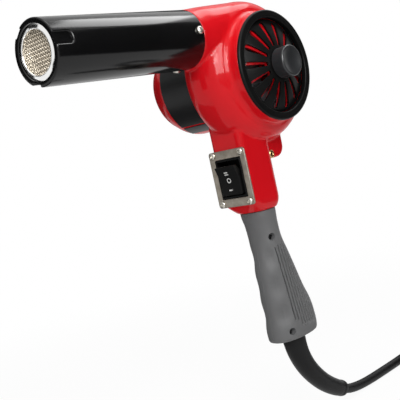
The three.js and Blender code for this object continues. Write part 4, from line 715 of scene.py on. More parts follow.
def round_edges(piece, width, segments=3, angle=35):
    return apply_modifier(piece, "BEVEL", width=width, segments=segments, limit_method="ANGLE",
                          angle_limit=math.radians(angle), use_clamp_overlap=True)


def turned(name, profile, axis="Y", centre=(0, 0, 0), steps=RIM_STEPS, sweep=360, start=0):
    """A turned piece: a profile of (radius, distance along the axis) is drawn corner by corner and spun."""
    ways = {
        "X": (Vector((1, 0, 0)), Vector((0, 0, 1))),
        "Y": (Vector((0, 1, 0)), Vector((1, 0, 0))),
        "Z": (Vector((0, 0, 1)), Vector((1, 0, 0))),
    }
    along, out = ways[axis]
    out = Matrix.Rotation(math.radians(start), 3, along) @ out
    points = [Vector(centre) + out * radius + along * reach for radius, reach in profile]
    whole = sweep == 360
    if whole and profile[0][0] > 0:
        points.append(points[0])
    pick_none()
    bpy.ops.mesh.primitive_plane_add(size=1)
    piece = named(name)
    bpy.ops.object.mode_set(mode="EDIT")
    bpy.ops.mesh.select_all(action="SELECT")
    bpy.ops.mesh.merge(type="CENTER")
    bpy.ops.transform.translate(value=points[0])
    for here, there in zip(points, points[1:]):
        bpy.ops.mesh.extrude_region_move(TRANSFORM_OT_translate={"value": there - here})
    bpy.ops.mesh.select_all(action="SELECT")
    if not whole:
        bpy.ops.mesh.edge_face_add()
    bpy.ops.mesh.spin(steps=steps, angle=math.radians(sweep), center=centre, axis=along)
    leave_edit()
    return outwards(piece)


def rod(name, radius, low, high, axis="Y", centre=(0, 0, 0), steps=SMALL_STEPS):
    return turned(name, [(0, low), (radius, low), (radius, high), (0, high)], axis, centre, steps)


def drawn(name, rings):
    """A skin drawn through rings of equal count: a filled circle is the first, and the rest are extruded."""
    pick_none()
    bpy.ops.mesh.primitive_circle_add(vertices=len(rings[0]), fill_type="NGON")
    piece = named(name)
    bpy.ops.object.mode_set(mode="EDIT")
    bpy.ops.mesh.select_all(action="SELECT")
    for number, ring in enumerate(rings):
        if number:
            bpy.ops.mesh.extrude_region_move()
        mesh = bmesh.from_edit_mesh(piece.data)
        cap = next(face for face in mesh.faces if face.select)
        for vertex, place in zip(cap.verts, ring):
            vertex.co = place
        bmesh.update_edit_mesh(piece.data)
    leave_edit()
    return outwards(piece)


def block(name, low, high):
    low, high = Vector(low), Vector(high)
    pick_none()
    bpy.ops.mesh.primitive_cube_add(size=1, location=(low + high) / 2, scale=high - low)
    piece = named(name)
    bpy.ops.object.transform_apply(location=True, rotation=True, scale=True)
    return piece


def settle(piece, material, body, nodes=(), angle=32):
    """Moves a finished piece from millimetres about the fan into the part's frame, with its finish and body."""
    pick(piece)
    piece.data.transform(Matrix.Translation(FAN_AXIS * MM) @ Matrix.Scale(MM, 4))
    piece.data.materials.clear()
    piece.data.materials.append(FINISHES[material])
    bpy.ops.object.shade_smooth_by_angle(angle=math.radians(angle))
    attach(piece, body)
    if nodes:
        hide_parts(*nodes)
    return piece


def node_box(node):
    """Lowest and highest corner of a solid, in millimetres about the fan's axis."""
    low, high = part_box(node)
    to_mm = Matrix.Scale(1 / MM, 4) @ Matrix.Translation(-FAN_AXIS * MM)
    return to_mm @ low, to_mm @ high


def round_line(name, radius, resolution, kind):
    """A curve with a round section, and its first spline."""
    line = bpy.data.curves.new(name, "CURVE")
    line.dimensions = "3D"
    line.bevel_depth = radius
    line.bevel_resolution = resolution
    line.use_fill_caps = True
    piece = bpy.data.objects.new(name, line)
    bpy.context.scene.collection.objects.link(piece)
    return piece, line.splines.new(kind)


# Lead: one curve from inside the sleeve, along the surface and round the coil to the plug
def coil_points():
    places = []
    count = 2 * COIL_TURNS * COIL_POINTS
    for number in range(count + 1):
        turns = number / COIL_POINTS
        radius = COIL_INNER_RADIUS + COIL_PITCH * abs(turns - COIL_TURNS)
        angle = math.pi / 2 - turns * 2 * math.pi
        share = smoothstep(turns, COIL_TURNS - COIL_CLIMB / 2, COIL_TURNS + COIL_CLIMB / 2)
        x = COIL_CENTRE[0] + radius * math.cos(angle)
        y = COIL_CENTRE[1] + radius * math.sin(angle)
        places.append((x, y, COIL_LOW_Z + COIL_PITCH * share))
    return places


def tail_points():
    return [(COIL_CENTRE[0] + COIL_TAIL * share, 0, COIL_LOW_Z + COIL_PITCH) for share in COIL_TAIL_SHARES]


def power_lead():
    places = [*LEAD_ROUTE, *coil_points(), *tail_points()]
    lead, spline = round_line("power_lead_cord", LEAD_DIAMETER / 2, resolution=5, kind="BEZIER")
    lead.data.resolution_u = 4
    spline.bezier_points.add(len(places) - 1)
    for point, place in zip(spline.bezier_points, places):
        point.co = place
        point.handle_left_type = "AUTO"
        point.handle_right_type = "AUTO"
    lead.data.materials.append(FINISHES["black_rubber"])
    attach(lead, "tool_body")
    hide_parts("power_lead", "lead_coil")
    return lead


lead = power_lead()


# Blower housing: scroll, outlet, neck and lug grown into one casting, then hollowed
def scroll_profile(crown, front, front_foot, back, back_foot, front_squareness=SCROLL_SQUARENESS, steps=24):
    """From the foot of the scroll's front over its crown to the foot of its back."""
    def side(edge, foot, squareness):
        power = 2 / squareness
        for turn in quarter_turn(steps):
            radius = foot + (crown - foot) * math.cos(turn) ** power
            yield radius, SCROLL_CROWN_Y + (edge - SCROLL_CROWN_Y) * math.sin(turn) ** power

    shoulder = reversed(list(side(front, front_foot, front_squareness)))
    return [*shoulder, *list(side(back, back_foot, SCROLL_SQUARENESS))[1:]]


def oval(x, centre_y, centre_z, half_y, half_z, squareness, count=72):
    power = 2 / squareness
    ring = []
    for turn in turns_of(count):
        y = centre_y + half_y * signed_power(math.cos(turn), power)
        z = centre_z + half_z * signed_power(math.sin(turn), power)
        ring.append(Vector((x, y, z)))
    return ring


def outlet_rings(inset, stations=18):
    """From the round outlet into the scroll, whose width it has before it reaches the motor drum."""
    middle_y = (SCROLL_FRONT_Y + SCROLL_BACK_Y) / 2
    scroll_half = (SCROLL_BACK_Y - SCROLL_FRONT_Y) / 2
    inner_half = (SCROLL_RADIUS - (BARREL_Z - BARREL_RADIUS)) / 2
    inner_z = SCROLL_RADIUS - inner_half
    narrowed = (OUTLET_REACH - DRUM_RADIUS - OUTLET_DRUM_GAP) / OUTLET_REACH
    rings = []
    for number in range(stations + 1):
        share = number / stations
        sideways = smoothstep(share, 0, narrowed)
        rings.append(oval(
            -OUTLET_REACH * (1 - share),
            mix(0, middle_y, sideways),
            mix(BARREL_Z, inner_z, share),
            mix(BARREL_RADIUS, scroll_half, sideways) - inset,
            mix(BARREL_RADIUS, inner_half, share) - inset,
            mix(ROUND, SCROLL_SQUARENESS, share),
        ))
    return rings


def neck_ring(z, front, back, half, front_corner, back_corner, steps=8):
    corners = (
        (back - back_corner, half - back_corner, back_corner, 0),
        (front + front_corner, half - front_corner, front_corner, 90),
        (front + front_corner, front_corner - half, front_corner, 180),
        (back - back_corner, back_corner - half, back_corner, 270),
    )
    ring = []
    for x, y, radius, start in corners:
        for number in range(steps + 1):
            turn = math.radians(start + 90 * number / steps)
            ring.append(Vector((x + radius * math.cos(turn), y + radius * math.sin(turn), z)))
    return ring


def neck_rings():
    """The straight neck and its foot, which rounds in to the grip sooner at its front than at its back."""
    _, grip_front, grip_back, grip_half = GRIP_STATIONS[0]
    foot_corner = grip_half * NECK_FOOT_CORNER
    rings = [neck_ring(-SCROLL_RADIUS + NECK_OVERLAP, NECK_FRONT_X, NECK_BACK_X, NECK_HALF_WIDTH,
                       NECK_FRONT_CORNER, NECK_BACK_CORNER)]
    for number in range(NECK_FOOT_STEPS + 1):
        fallen = number / NECK_FOOT_STEPS
        at_front, at_back = fallen ** NECK_FRONT_FALL, fallen ** NECK_BACK_FALL
        rings.append(neck_ring(
            NECK_BOTTOM_Z + NECK_ROUNDING * (1 - fallen),
            mix(NECK_FRONT_X, grip_front - NECK_LIP, at_front),
            mix(NECK_BACK_X, grip_back + NECK_LIP, at_back),
            mix(NECK_HALF_WIDTH, grip_half + NECK_LIP, (at_front + at_back) / 2),
            mix(NECK_FRONT_CORNER, foot_corner, at_front),
            mix(NECK_BACK_CORNER, foot_corner, at_back),
        ))
    return rings


def rear_lug():
    """A plate behind the neck, with a round lower corner."""
    lug = block("lug", (NECK_BACK_X - LUG_OVERLAP, -LUG_HALF_WIDTH, LUG_BOTTOM_Z),
                (LUG_REACH, LUG_HALF_WIDTH, LUG_TOP_Z))
    bevel_where(lug, LUG_CORNER, 10, lambda middle, way: abs(way.y) > ALONG and middle.x > LUG_REACH - NEAR
                and middle.z < LUG_BOTTOM_Z + NEAR)
    return round_edges(lug, LUG_EDGE, 3)


def switch_block(name, front, back, size, grown=0):
    """A block between two depths, of a width and height about the middle of the switch."""
    half_width, half_height = size[0] / 2 + grown, size[1] / 2 + grown
    return block(name, (front, -half_width, PLATE_Z - half_height), (back, half_width, PLATE_Z + half_height))


def blower_housing():
    outer = [(0, COLLAR_FRONT_Y), (COLLAR_RADIUS, COLLAR_FRONT_Y)]
    for turn in quarter_turn(ARC_STEPS):
        out, rise = COLLAR_FILLET * (1 - math.cos(turn)), COLLAR_FILLET * math.sin(turn)
        outer.append((COLLAR_RADIUS + out, SCROLL_FRONT_Y - COLLAR_FILLET + rise))
    shell = scroll_profile(SCROLL_RADIUS, SCROLL_FRONT_Y, SCROLL_FRONT_FOOT, SCROLL_BACK_Y, SCROLL_BACK_FOOT,
                           SHOULDER_SQUARENESS)
    outer += [place for place in shell if place[1] > SCROLL_FRONT_Y + SHOULDER_START]
    outer += [(0, SCROLL_BACK_Y)]
    casting = join(
        turned("blower_casting", outer),
        drawn("outlet", outlet_rings(0)),
        drawn("neck", neck_rings()),
        rear_lug(),
    )
    apply_modifier(casting, "REMESH", mode="VOXEL", voxel_size=CASTING_VOXEL, adaptivity=0)
    apply_modifier(casting, "SMOOTH", factor=0.5, iterations=CASTING_SMOOTHING)
    on_barrel = ("X", (0, 0, BARREL_Z), ROUND_STEPS)
    weld(casting, rod("spigot", SPIGOT_RADIUS, SPIGOT_END_X, -OUTLET_REACH + SPIGOT_OVERLAP, *on_barrel))
    chamber = [(0, GRILLE_SEAT_Y), (INTAKE_RADIUS, GRILLE_SEAT_Y)]
    chamber += scroll_profile(SCROLL_RADIUS - HOUSING_WALL, SCROLL_FRONT_Y + HOUSING_WALL, INTAKE_RADIUS,
                              SCROLL_BACK_Y - HOUSING_WALL, SCROLL_BACK_FOOT - HOUSING_WALL)
    chamber += [(0, SCROLL_BACK_Y - HOUSING_WALL)]
    cut(
        casting,
        turned("chamber", chamber),
        rod("seat", GRILLE_SEAT_RADIUS, COLLAR_FRONT_Y - OVERRUN, GRILLE_SEAT_Y, steps=RIM_STEPS),
        drawn("air_way", outlet_rings(BARREL_RADIUS - OUTLET_BORE)),
        rod("outlet_bore", OUTLET_BORE, SPIGOT_END_X - OVERRUN / 2, -OUTLET_REACH + OVERRUN / 2, *on_barrel),
        rod("shaft_hole", SHAFT_HOLE_RADIUS, 0, SCROLL_BACK_Y + OVERRUN),
        switch_block("switch_pocket", PLATE_FRONT_X - OVERRUN / 2, SWITCH_BACK_X + SEAT_GAP, SWITCH_SIZE,
                     grown=SEAT_GAP),
        rod("rivet_hole", RIVET_HOLE_RADIUS, -LUG_HALF_WIDTH - OVERRUN, LUG_HALF_WIDTH + OVERRUN, "Y",
            (RIVET_X, 0, RIVET_Z)),
    )
    return settle(casting, "red_paint", "tool_body", ["blower_housing"], angle=40)


blower_housing()


# Intake: slotted grille, damper over it, ring and knob
def dome(radius):
    """Y of the damper's dome at a radius."""
    return DAMPER_RIM_Y - DAMPER_RISE * (1 - (radius / DAMPER_RADIUS) ** 2)


def dome_arc(start, end, offset, steps=14):
    radii = [mix(start, end, number / steps) for number in range(steps + 1)]
    return [(radius, dome(radius) + offset) for radius in radii]


def slot_cutters(turn):
    """Tapered slots with round ends, one modelled and the rest copied round the axis."""
    half = SLOT_INNER_WIDTH / 2
    slot = block("slot", (SLOT_INNER_RADIUS, SLOT_FRONT_Y, -half),
                 (SLOT_OUTER_RADIUS, GRILLE_SEAT_Y + SLOT_BACK_GAP, half))
    edit(slot)
    pick_part(slot, "faces", lambda middle, way: way.x > ALONG)
    widen = SLOT_OUTER_WIDTH / SLOT_INNER_WIDTH
    bpy.ops.transform.resize(value=(1, 1, widen), center_override=(SLOT_OUTER_RADIUS, 0, 0))
    leave_edit()
    middle_x = (SLOT_INNER_RADIUS + SLOT_OUTER_RADIUS) / 2
    for width, outer in ((SLOT_INNER_WIDTH, False), (SLOT_OUTER_WIDTH, True)):
        bevel_where(slot, SLOT_END_ROUND * width, 8,
                    lambda middle, way: abs(way.y) > ALONG and (middle.x > middle_x) == outer)
    step = 360 / SLOT_COUNT
    turns = [Matrix.Rotation(math.radians(number * step + turn), 4, "Y") for number in range(SLOT_COUNT)]
    cutters = [copy_of(slot, "slot_copy", move) for move in turns]
    bpy.data.objects.remove(slot)
    return join(*cutters)


def intake_grille():
    lip = DAMPER_RADIUS - GRILLE_INSET
    rim = GRILLE_SEAT_RADIUS - SEAT_GAP
    profile = [
        *dome_arc(SPINDLE_BORE, lip, GRILLE_SETBACK), (lip, GRILLE_FLANGE_Y), (rim, GRILLE_FLANGE_Y),
        (rim, GRILLE_SEAT_Y - SEAT_GAP), (INTAKE_RADIUS + SEAT_GAP, GRILLE_SEAT_Y - SEAT_GAP),
        *dome_arc(lip - GRILLE_THICKNESS, SPINDLE_BORE, GRILLE_SETBACK + GRILLE_THICKNESS),
    ]
    grille = cut(turned("grille_dome", profile), slot_cutters(0))
    return settle(grille, "red_paint", "tool_body", ["intake_grille"])


def air_damper():
    profile = [
        (SPINDLE_BORE, HUB_END_Y), (HUB_RADIUS, HUB_END_Y), *dome_arc(HUB_RADIUS, DAMPER_RADIUS, 0),
        *dome_arc(DAMPER_RADIUS, SPINDLE_BORE, DAMPER_THICKNESS),
    ]
    damper = cut(turned("damper_dome", profile), slot_cutters(DAMPER_REST_TURN))
    round_edges(damper, DAMPER_EDGE, 2, 50)
    return settle(damper, "black_plastic", "damper", ["air_damper"])


def intake_ring():
    """A flat ring with a thin lip that goes back into the intake."""
    lip = RING_INNER + RING_LIP_WALL
    profile = [(RING_INNER, RING_LIP_Y), (RING_INNER, RING_FRONT_Y), (RING_RADIUS, RING_FRONT_Y),
               (RING_RADIUS, RING_BACK_Y), (lip, RING_BACK_Y), (lip, RING_LIP_Y)]
    ring = turned("ring_trim", profile)
    bevel_where(ring, RING_OUTER_ROUND, 6, lambda middle, way: middle.y < RING_FRONT_Y + NEAR
                and middle.xz.length > RING_RADIUS - RIM_BAND)
    bevel_where(ring, RING_INNER_ROUND, 4, lambda middle, way: middle.y < RING_FRONT_Y + NEAR
                and middle.xz.length < RING_INNER + RIM_BAND)
    return settle(ring, "black_plastic", "tool_body", ["intake_ring"])


def damper_knob():
    """A dished face, a round rim and a slight taper to the back, with a socket for the damper's hub."""
    dish = KNOB_RADIUS - KNOB_EDGE
    face = []
    for number in range(KNOB_DISH_STEPS + 1):
        share = number / KNOB_DISH_STEPS
        face.append((dish * share, KNOB_FACE_Y + KNOB_DISH * (1 - share ** 2)))
    rim = []
    for turn in quarter_turn(6, 1):
        rim.append((dish + KNOB_EDGE * math.sin(turn), KNOB_FACE_Y + KNOB_EDGE * (1 - math.cos(turn))))
    waist_radius = KNOB_RADIUS - KNOB_TAPER
    waist = [(KNOB_RADIUS, KNOB_FACE_Y + KNOB_BELT_FRONT), (waist_radius, KNOB_BACK_Y - KNOB_BELT_BACK),
             (waist_radius, KNOB_BACK_Y)]
    socket, socket_y = HUB_RADIUS + SEAT_GAP, HUB_END_Y - SEAT_GAP
    profile = [*face, *rim, *waist, (socket, KNOB_BACK_Y), (socket, socket_y), (0, socket_y)]
    return settle(turned("knob", profile, steps=ROUND_STEPS), "knob_plastic", "damper", ["damper_knob"])


intake_grille()
air_damper()
intake_ring()
damper_knob()


# Barrel: rim, keyways and screws, then the ring, woven screen and heater winding in it
def round_barrel(angle):
    """Turns a piece made on the barrel's -Y side round the barrel's axis."""
    centre = Matrix.Translation((0, 0, BARREL_Z))
    return centre @ Matrix.Rotation(math.radians(-angle), 4, "X") @ centre.inverted()


def keyway(name, wall, top):
    """A round-ended bar along the barrel's near side, under its surface, grown by a wall."""
    half = KEYWAY_WIDTH / 2 + wall
    front = BARREL_FRONT_X + (RIM_WALL if wall else -OVERRUN)
    end = BARREL_FRONT_X + KEYWAY_LENGTH + wall
    floor = BARREL_RADIUS - KEYWAY_DEPTH - wall
    bar = block(name, (front, -top, BARREL_Z - half), (end, -floor, BARREL_Z + half))
    return bevel_where(bar, half * KEYWAY_END_ROUND, 10,
                       lambda middle, way: abs(way.y) > ALONG and middle.x > end - NEAR)


def keyway_channel():
    """What is cut out for a keyway: a bar with flared sides, which leave a round lip."""
    half, front = KEYWAY_WIDTH / 2, BARREL_FRONT_X - OVERRUN
    length = KEYWAY_LENGTH + OVERRUN
    lip_top = math.sqrt(BARREL_RADIUS ** 2 - (half + KEYWAY_LIP) ** 2)
    bar = keyway("channel", 0, lip_top - KEYWAY_LIP)
    edit(bar)
    pick_part(bar, "faces", lambda middle, way: way.y < -ALONG)
    grown, risen = 0, 0
    for turn in quarter_turn(6, 1):
        growth, rise = KEYWAY_LIP * (1 - math.cos(turn)), KEYWAY_LIP * math.sin(turn)
        bpy.ops.mesh.extrude_region_move(TRANSFORM_OT_translate={"value": (0, risen - rise, 0)})
        bpy.ops.transform.resize(
            value=((length + growth) / (length + grown), 1, (half + growth) / (half + grown)),
            center_override=(front, 0, BARREL_Z),
        )
        grown, risen = growth, rise
    bpy.ops.mesh.extrude_region_move(TRANSFORM_OT_translate={"value": (0, -OVERRUN, 0)})
    leave_edit()
    return outwards(bar)


def barrel():
    profile = [
        (BARREL_BORE, BARREL_REAR_X), (BARREL_RADIUS, BARREL_REAR_X), (BARREL_RADIUS, BARREL_FRONT_X),
        (RIM_OPENING, BARREL_FRONT_X), (RIM_OPENING, BARREL_FRONT_X + RIM_WALL),
        (BARREL_BORE, BARREL_FRONT_X + RIM_WALL),
    ]
    tube = turned("barrel_tube", profile, "X", (0, 0, BARREL_Z))
    bevel_where(tube, BARREL_RIM_ROUND, 5, lambda middle, way: middle.x < BARREL_FRONT_X + NEAR
                and (middle - Vector((middle.x, 0, BARREL_Z))).length > BARREL_RADIUS - RIM_BAND)
    skin = math.sqrt(BARREL_RADIUS ** 2 - (KEYWAY_WIDTH / 2 + RIM_WALL) ** 2) - BARREL_SKIN
    dent = keyway("dent", RIM_WALL, skin)
    channel = keyway_channel()
    weld(tube, *[copy_of(dent, "dent_copy", round_barrel(angle)) for angle in KEYWAY_ANGLES])
    cut(tube, *[copy_of(channel, "channel_copy", round_barrel(angle)) for angle in KEYWAY_ANGLES])
    bpy.data.objects.remove(dent)
    bpy.data.objects.remove(channel)
    round_edges(tube, BARREL_EDGE, 4, 40)
    return settle(tube, "black_enamel", "tool_body", ["barrel"])


def mouth_ring():
    """A flange behind the rim, and a cone in its opening that rises to a round crest beside the screen."""
    crest_x = MOUTH_RING_FRONT_X - MOUTH_RING_CREST
    profile = [
        (MOUTH_RING_OUTER, MOUTH_RING_FRONT_X), (MOUTH_RING_EDGE, MOUTH_RING_FRONT_X),
        *[(MOUTH_RING_INNER + out, crest_x + back) for out, back in MOUTH_RING_CREST_ARC],
        (MOUTH_RING_INNER, MOUTH_RING_BACK_X), (MOUTH_RING_OUTER, MOUTH_RING_BACK_X),
    ]
    ring = turned("mouth_trim", profile, "X", (0, 0, BARREL_Z))
    return settle(ring, "polished_steel", "tool_body", ["mouth_ring"])


def woven_wire(name, places):
    """A thin wire with few sides through places."""
    rings = []
    turns = turns_of(SCREEN_WIRE_SIDES)
    for number, place in enumerate(places):
        before, after = places[max(number - 1, 0)], places[min(number + 1, len(places) - 1)]
        along = (after - before).normalized()
        side = along.cross(Vector((1, 0, 0))).normalized()
        top = side.cross(along)
        rings.append([place + (side * math.cos(turn) + top * math.sin(turn)) * SCREEN_WIRE for turn in turns])
    return drawn(name, rings)


def outlet_screen():
    """Plain weave at 45 degrees: each wire passes over one crossing wire and under the next."""
    wires = []
    reach = int(SCREEN_RADIUS // SCREEN_PITCH)
    lift = SCREEN_WIRE * SCREEN_LIFT
    for direction in (0, 1):
        for number in range(-reach, reach + 1):
            across = number * SCREEN_PITCH
            half = math.sqrt(SCREEN_RADIUS ** 2 - across ** 2)
            count = max(int(2 * half / (SCREEN_PITCH / SCREEN_STEPS)), SCREEN_STEPS)
            places = []
            for step in range(count + 1):
                along = -half + 2 * half * step / count
                wave = math.cos(math.pi * (along / SCREEN_PITCH + number)) * (1 if direction else -1)
                flat = (across, along) if direction else (along, across)
                y = (flat[0] - flat[1]) * math.sqrt(0.5)
                z = (flat[0] + flat[1]) * math.sqrt(0.5)
                places.append(Vector((SCREEN_X + lift * wave, y, BARREL_Z + z)))
            wires.append(woven_wire("wire", places))
    screen = join(*wires)
    screen.name = "woven_screen"
    return settle(screen, "screen_wire", "tool_body", ["outlet_screen"], angle=60)


def heater_winding():
    winding, spline = round_line("heater_winding", HEATER_WIRE, resolution=3, kind="POLY")
    count = HEATER_TURNS * HEATER_STEPS
    spline.points.add(count)
    for number, point in enumerate(spline.points):
        turn = number / HEATER_STEPS * 2 * math.pi
        x = mix(HEATER_FRONT_X, HEATER_REAR_X, number / count)
        point.co = (x, HEATER_RADIUS * math.cos(turn), BARREL_Z + HEATER_RADIUS * math.sin(turn), 1)
    pick(winding)
    bpy.ops.object.convert(target="MESH")
    return settle(winding, "screen_wire", "tool_body", ["heater_coil"], angle=60)


def pan_screw(name, radius, rise, shank, length):
    """A pan-head screw with a cross recess. Its head rises to -Y and its shank goes to +Y."""
    head = []
    for turn in quarter_turn(ARC_STEPS):
        head.append((radius * math.sin(turn), -rise * (HEAD_EDGE + (1 - HEAD_EDGE) * math.cos(turn))))
    screw = turned(name, [*head, (radius, 0), (shank, 0), (shank, length), (0, length)], steps=SMALL_STEPS)
    long, wide = radius * RECESS_LENGTH, radius * RECESS_WIDTH
    for x, z in ((long, wide), (wide, long)):
        cut(screw, block("recess", (-x, -rise - OVERRUN / 2, -z), (x, -rise * RECESS_FLOOR, z)))
    return screw


def set_screws(kind, size, moves, material="zinc_steel"):
    """Models a screw once and settles a copy of it at each of its places."""
    screw = pan_screw(f"{kind}_screw", *size)
    for number, move in enumerate(moves, 1):
        twin = copy_of(screw, f"{kind}_pan_screw_{number}", move)
        settle(twin, material, "tool_body", [f"{kind}_screw_{number}"])
    bpy.data.objects.remove(screw)


def barrel_screws():
    seat = Matrix.Translation((BARREL_SCREW_X, -BARREL_RADIUS - SEAT_GAP + HEAD_SINK, BARREL_Z))
    moves = []
    for angle, turn in zip(BARREL_SCREW_ANGLES, BARREL_SCREW_TURNS):
        moves.append(round_barrel(angle) @ seat @ Matrix.Rotation(math.radians(turn), 4, "Y"))
    set_screws("barrel", BARREL_SCREW, moves)


barrel()
mouth_ring()
outlet_screen()
heater_winding()
barrel_screws()


# Motor drum with vents, its bare bands and end screws
def drum_screw_places():
    turns = turns_of(COVER_SCREW_COUNT)
    return [(COVER_SCREW_CIRCLE * math.cos(turn), -COVER_SCREW_CIRCLE * math.sin(turn)) for turn in turns]


def motor_drum():
    bore = DRUM_RADIUS - DRUM_WALL
    inner_end = DRUM_END_Y - DRUM_END_WALL
    profile = [
        (bore, DRUM_START_Y), (DRUM_RADIUS, DRUM_START_Y), (DRUM_RADIUS, DRUM_SHOULDER_Y),
        (DRUM_END_RADIUS, DRUM_END_Y), (0, DRUM_END_Y), (0, inner_end),
        (DRUM_END_RADIUS - DRUM_WALL, inner_end), (bore, DRUM_SHOULDER_Y - DRUM_WALL / 2), (bore, DRUM_START_Y),
    ]
    drum = turned("drum", profile)
    bevel_where(drum, DRUM_SHOULDER_ROUND, 8, lambda middle, way: abs(middle.y - DRUM_SHOULDER_Y) < NEAR
                and middle.xz.length > DRUM_RADIUS - RIM_BAND)
    bevel_where(drum, DRUM_END_ROUND, 6, lambda middle, way: abs(middle.y - DRUM_END_Y) < NEAR
                and middle.xz.length > DRUM_END_RADIUS - RIM_BAND)
    half = VENT_WIDTH / 2
    inner, outer = VENT_RADII
    vent = block("vent", (inner, inner_end - OVERRUN, -half), (outer, DRUM_END_Y + OVERRUN, half))
    bevel_where(vent, half * VENT_END_ROUND, 6, lambda middle, way: abs(way.y) > ALONG)
    turns = [Matrix.Rotation((number + 0.5) / VENT_COUNT * 2 * math.pi, 4, "Y") for number in range(VENT_COUNT)]
    cut(drum, join(*[copy_of(vent, "vent_copy", move) for move in turns]))
    bpy.data.objects.remove(vent)
    well_floor = DRUM_END_Y - COVER_SCREW_WELL
    for x, z in drum_screw_places():
        cut(drum, rod("well", COVER_SCREW_WELL_RADIUS, well_floor, DRUM_END_Y + OVERRUN, "Y", (x, 0, z)))
    round_edges(drum, DRUM_EDGE, 2, 45)
    return settle(drum, "red_paint", "tool_body", ["motor_cover"])


def rating_bands():
    inner, outer = BAND_RADII
    near, far = BAND_Y
    profile = [(inner, near), (outer, near), (outer, far), (inner, far), (inner, near)]
    for node, (first, last) in BAND_SWEEPS.items():
        band = turned(f"{node}_film", profile, sweep=last - first, start=-first, steps=last - first)
        settle(band, "band_film", "tool_body", [node])


def cover_screws():
    moves = []
    for number, (x, z) in enumerate(drum_screw_places(), 1):
        place = Matrix.Translation((x, DRUM_END_Y - COVER_SCREW_WELL + SEAT_GAP, z))
        turn = Matrix.Rotation(COVER_SCREW_TURN * number, 4, "Y")
        moves.append(place @ Matrix.Rotation(math.pi, 4, "X") @ turn)
    set_screws("cover", COVER_SCREW, moves)


motor_drum()
rating_bands()
cover_screws()


# Switch: plate, screws, bezel and rocker with its marks
def switch_plate():
    plate = switch_block("plate", PLATE_FRONT_X, PLATE_BACK_X, PLATE_SIZE)
    bevel_where(plate, PLATE_CORNER, 6, lambda middle, way: abs(way.x) > ALONG)
    cut(plate, switch_block("window", PLATE_FRONT_X - OVERRUN, PLATE_BACK_X + OVERRUN, PLATE_WINDOW))
    round_edges(plate, PLATE_EDGE, 3, 50)
    return settle(plate, "nickel_plate", "tool_body", ["switch_plate"])


def plate_screws():
    x = PLATE_FRONT_X - SEAT_GAP + HEAD_SINK
    moves = []
    for number, (side, level) in enumerate(PLATE_SCREW_SIDES, 1):
        place = Matrix.Translation((x, side * PLATE_SCREW_Y, PLATE_Z + level * PLATE_SCREW_Z))
        turn = Matrix.Rotation(PLATE_SCREW_FIRST_TURN + PLATE_SCREW_TURN * number, 4, "Y")
        moves.append(place @ Matrix.Rotation(-math.pi / 2, 4, "Z") @ turn)
    set_screws("plate", PLATE_SCREW, moves)


def switch_bezel():
    bezel = switch_block("bezel", PLATE_FRONT_X - BEZEL_RISE, SWITCH_BACK_X, SWITCH_SIZE)
    well_front = PLATE_FRONT_X - BEZEL_RISE - OVERRUN
    cut(bezel, switch_block("well", well_front, PLATE_FRONT_X + ROCKER_WELL_DEPTH, ROCKER_WELL))
    reach = SWITCH_SIZE[0] / 2 - PIN_INSET
    weld(bezel, rod("pin", PIN_RADIUS, -reach, reach, "Y", (ROCKER_PIVOT_X, 0, PLATE_Z)))
    round_edges(bezel, BEZEL_EDGE, 3, 50)
    return settle(bezel, "black_plastic", "tool_body", ["switch_body"])


def rocker_pose():
    tilt = Matrix.Rotation(math.radians(-ROCKER_TILT), 4, "Y")
    return Matrix.Translation((ROCKER_PIVOT_X, 0, PLATE_Z)) @ tilt


def switch_rocker():
    """A rocker round its pivot: a valley between two raised ends, and a round back with a bore for its pin."""
    half, end_x = ROCKER_HEIGHT / 2, ROCKER_END_DEPTH - ROCKER_DEPTH
    outline = [(-ROCKER_DEPTH, half), (-ROCKER_DEPTH + ROCKER_FALL, 0), (-ROCKER_DEPTH, -half), (end_x, -half)]
    for number in range(ROCKER_BACK_STEPS + 1):
        turn = math.radians(mix(-ROCKER_BACK_ANGLE, ROCKER_BACK_ANGLE, number / ROCKER_BACK_STEPS))
        outline.append((ROCKER_BACK_RADIUS * math.cos(turn), ROCKER_BACK_RADIUS * math.sin(turn)))
    outline.append((end_x, half))
    rings = [[Vector((x, y, z)) for x, z in outline] for y in (-ROCKER_WIDTH / 2, ROCKER_WIDTH / 2)]
    rocker = drawn("rocker", rings)
    cut(rocker, rod("bore", ROCKER_BORE, -ROCKER_WIDTH, ROCKER_WIDTH))
    round_edges(rocker, ROCKER_EDGE, 3, 40)
    rocker.data.transform(rocker_pose())
    return settle(rocker, "black_plastic", "rocker", ["switch_rocker"])


def rocker_face_x(z):
    return -ROCKER_DEPTH + ROCKER_FALL * (1 - abs(z) / (ROCKER_HEIGHT / 2))


def rocker_slope(upper):
    return Matrix.Rotation(math.atan(ROCKER_FALL / (ROCKER_HEIGHT / 2)) * (-1 if upper else 1), 4, "Y")


def rocker_bar(name, z):
    """A short bar laid along the rocker's sloping face."""
    half_length, half_width = MARK_BAR_HALF
    bar = block(name, (MARK_DEPTH[0], -half_length, -half_width), (MARK_DEPTH[1], half_length, half_width))
    round_edges(bar, MARK_BAR_EDGE, 2)
    bar.data.transform(Matrix.Translation((rocker_face_x(z), 0, z)) @ rocker_slope(z > 0))
    return bar


def half_ring_mark(name, upper):
    """The half of a ring that lies along one of the two slopes of the rocker's face."""
    inner, outer = MARK_RING_RADII
    front, back = MARK_DEPTH
    profile = [(inner, front), (outer, front), (outer, back), (inner, back)]
    half = turned(name, profile, "X", steps=24, sweep=180, start=90 if upper else -90)
    half.data.transform(Matrix.Translation((rocker_face_x(0), 0, 0)) @ rocker_slope(upper))
    return half


